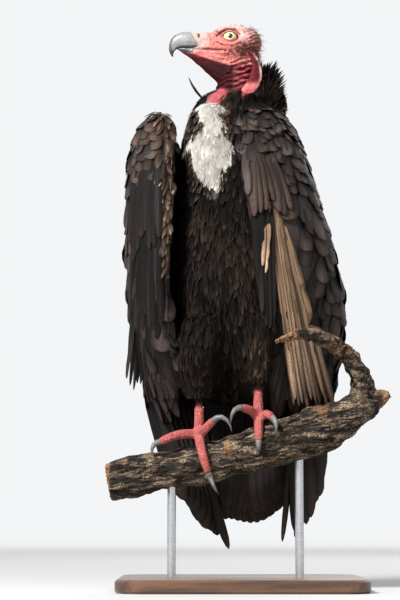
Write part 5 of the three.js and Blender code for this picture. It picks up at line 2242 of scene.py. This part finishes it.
@dataclass
class Studio:
    """The pale floor, the soft lamps and the camera."""

    eye: Spot = (-44.8, -2400.0, 90.0)
    aim: Spot = (-44.8, 0.0, 402.0)
    lens: float = 103.7
    floor: Colour = (0.5, 0.5, 0.495)
    # Each lamp's name, place and size in metres, and its power in watts.
    lamps: tuple[tuple[str, Spot, float, float], ...] = (
        ("key", (-1.5, -1.95, 2.2), 0.75, 215.0),
        ("fill", (2.0, -1.6, 1.0), 2.0, 9.0),
        ("rim", (0.9, 2.2, 1.9), 1.4, 30.0),
    )
    faced: Spot = (0.0, 0.0, 0.45)  # what the lamps point at

    def build(self) -> None:
        """Sets the scene up."""
        self._floor()
        self._world()
        for lamp in self.lamps:
            self._lamp(*lamp)
        self._camera()

    def _floor(self) -> None:
        """Lays the floor."""
        bpy.ops.object.select_all(action="DESELECT")
        bpy.ops.mesh.primitive_plane_add(size=16)
        piece = bpy.context.active_object
        piece.name = "floor"
        shader = Shader("floor")
        x, y, _ = shader.parts(shader.place())
        away = shader.math("SQRT", x * x + y * y)
        far = shader.ramp(away, 0.5, 2.2) * 0.16 + shader.ramp(away, 1.6, 6.0) * 0.46
        speck = shader.noise(shader.place(), 30.0)
        seen = Number(shader, shader.add("ShaderNodeLightPath").outputs["Is Camera Ray"])
        shader.set(
            Base_Color=shader.mix(speck * 0.06, self.floor, (0.43, 0.43, 0.43)), Roughness=0.8,
            Emission_Color=shader.mix(far * seen, (0.0, 0.0, 0.0), (1.0, 1.0, 1.0)),
            Emission_Strength=1.0,
        )
        piece.data.materials.append(shader.material)

    def _world(self) -> None:
        """Gives the world a soft light, and a pale look behind the object."""
        world = bpy.data.worlds.new("studio")
        bpy.context.scene.world = world
        nodes = Nodes(world)
        paths = nodes.add("ShaderNodeLightPath").outputs
        soft, plain = (
            nodes.add("ShaderNodeBackground", None, {"Color": colour, "Strength": strength}).outputs[0]
            for colour, strength in (((0.93, 0.96, 1.0), 0.3), ((0.9, 0.91, 0.92), 1.0))
        )
        rays = {0: paths["Is Camera Ray"], 1: paths["Is Glossy Ray"]}
        seen = nodes.add("ShaderNodeMath", {"operation": "MAXIMUM", "use_clamp": True}, rays)
        blend = nodes.add("ShaderNodeMixShader", None, {0: seen.outputs[0], 1: soft, 2: plain})
        nodes.add("ShaderNodeOutputWorld", None, {0: blend.outputs[0]})

    def _lamp(self, name: str, place: Row, size: float, power: float) -> None:
        """Adds a soft lamp that faces the bird.

        Args:
            name: the lamp's name.
            place: where it hangs, in metres.
            size: how wide it is.
            power: in watts.
        """
        lamp = bpy.data.lights.new(name, "AREA")
        lamp.size = size
        lamp.energy = power
        self._aimed(name, lamp, place, self.faced)

    def _aimed(
        self, name: str, data: bpy.types.ID, place: Row, aim: Row
    ) -> Piece:
        """A lamp or camera in its place, turned to its aim.

        Args:
            name: the object's name.
            data: the lamp or camera.
            place: where it stands.
            aim: what it points at.

        Returns:
            The object.
        """
        holder = linked(name, data)
        holder.location = place
        holder.rotation_euler = (Vector(aim) - Vector(place)).to_track_quat("-Z", "Y").to_euler()
        return holder

    def _camera(self) -> None:
        """Sets the camera."""
        lens = bpy.data.cameras.new("camera")
        lens.lens = self.lens
        lens.sensor_width = 36.0
        place, aim = to_frame(np.array([self.eye, self.aim]))
        bpy.context.scene.camera = self._aimed("camera", lens, place, aim)
        bpy.context.scene.view_settings.view_transform = "Standard"


def main() -> None:
    """Builds the vulture and its stand in order."""
    logging.basicConfig(level=logging.INFO, format="%(relativeCreated)d %(message)s")
    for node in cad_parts.values():
        node.select_set(False)
    form = Form()
    marks = Markings()
    skin = Skin(form, marks).build()
    for layer in (BodyCoat, BreastDown, Ruff, LeftWing, RightWing, Quills):
        layer(form, marks).build()
    Bristles(form, skin).build()
    form.remove()
    for part in (Bill, Claws, Eyes, Perch, Stand, Studio):
        part().build()


if __name__ == "__main__":
    main()
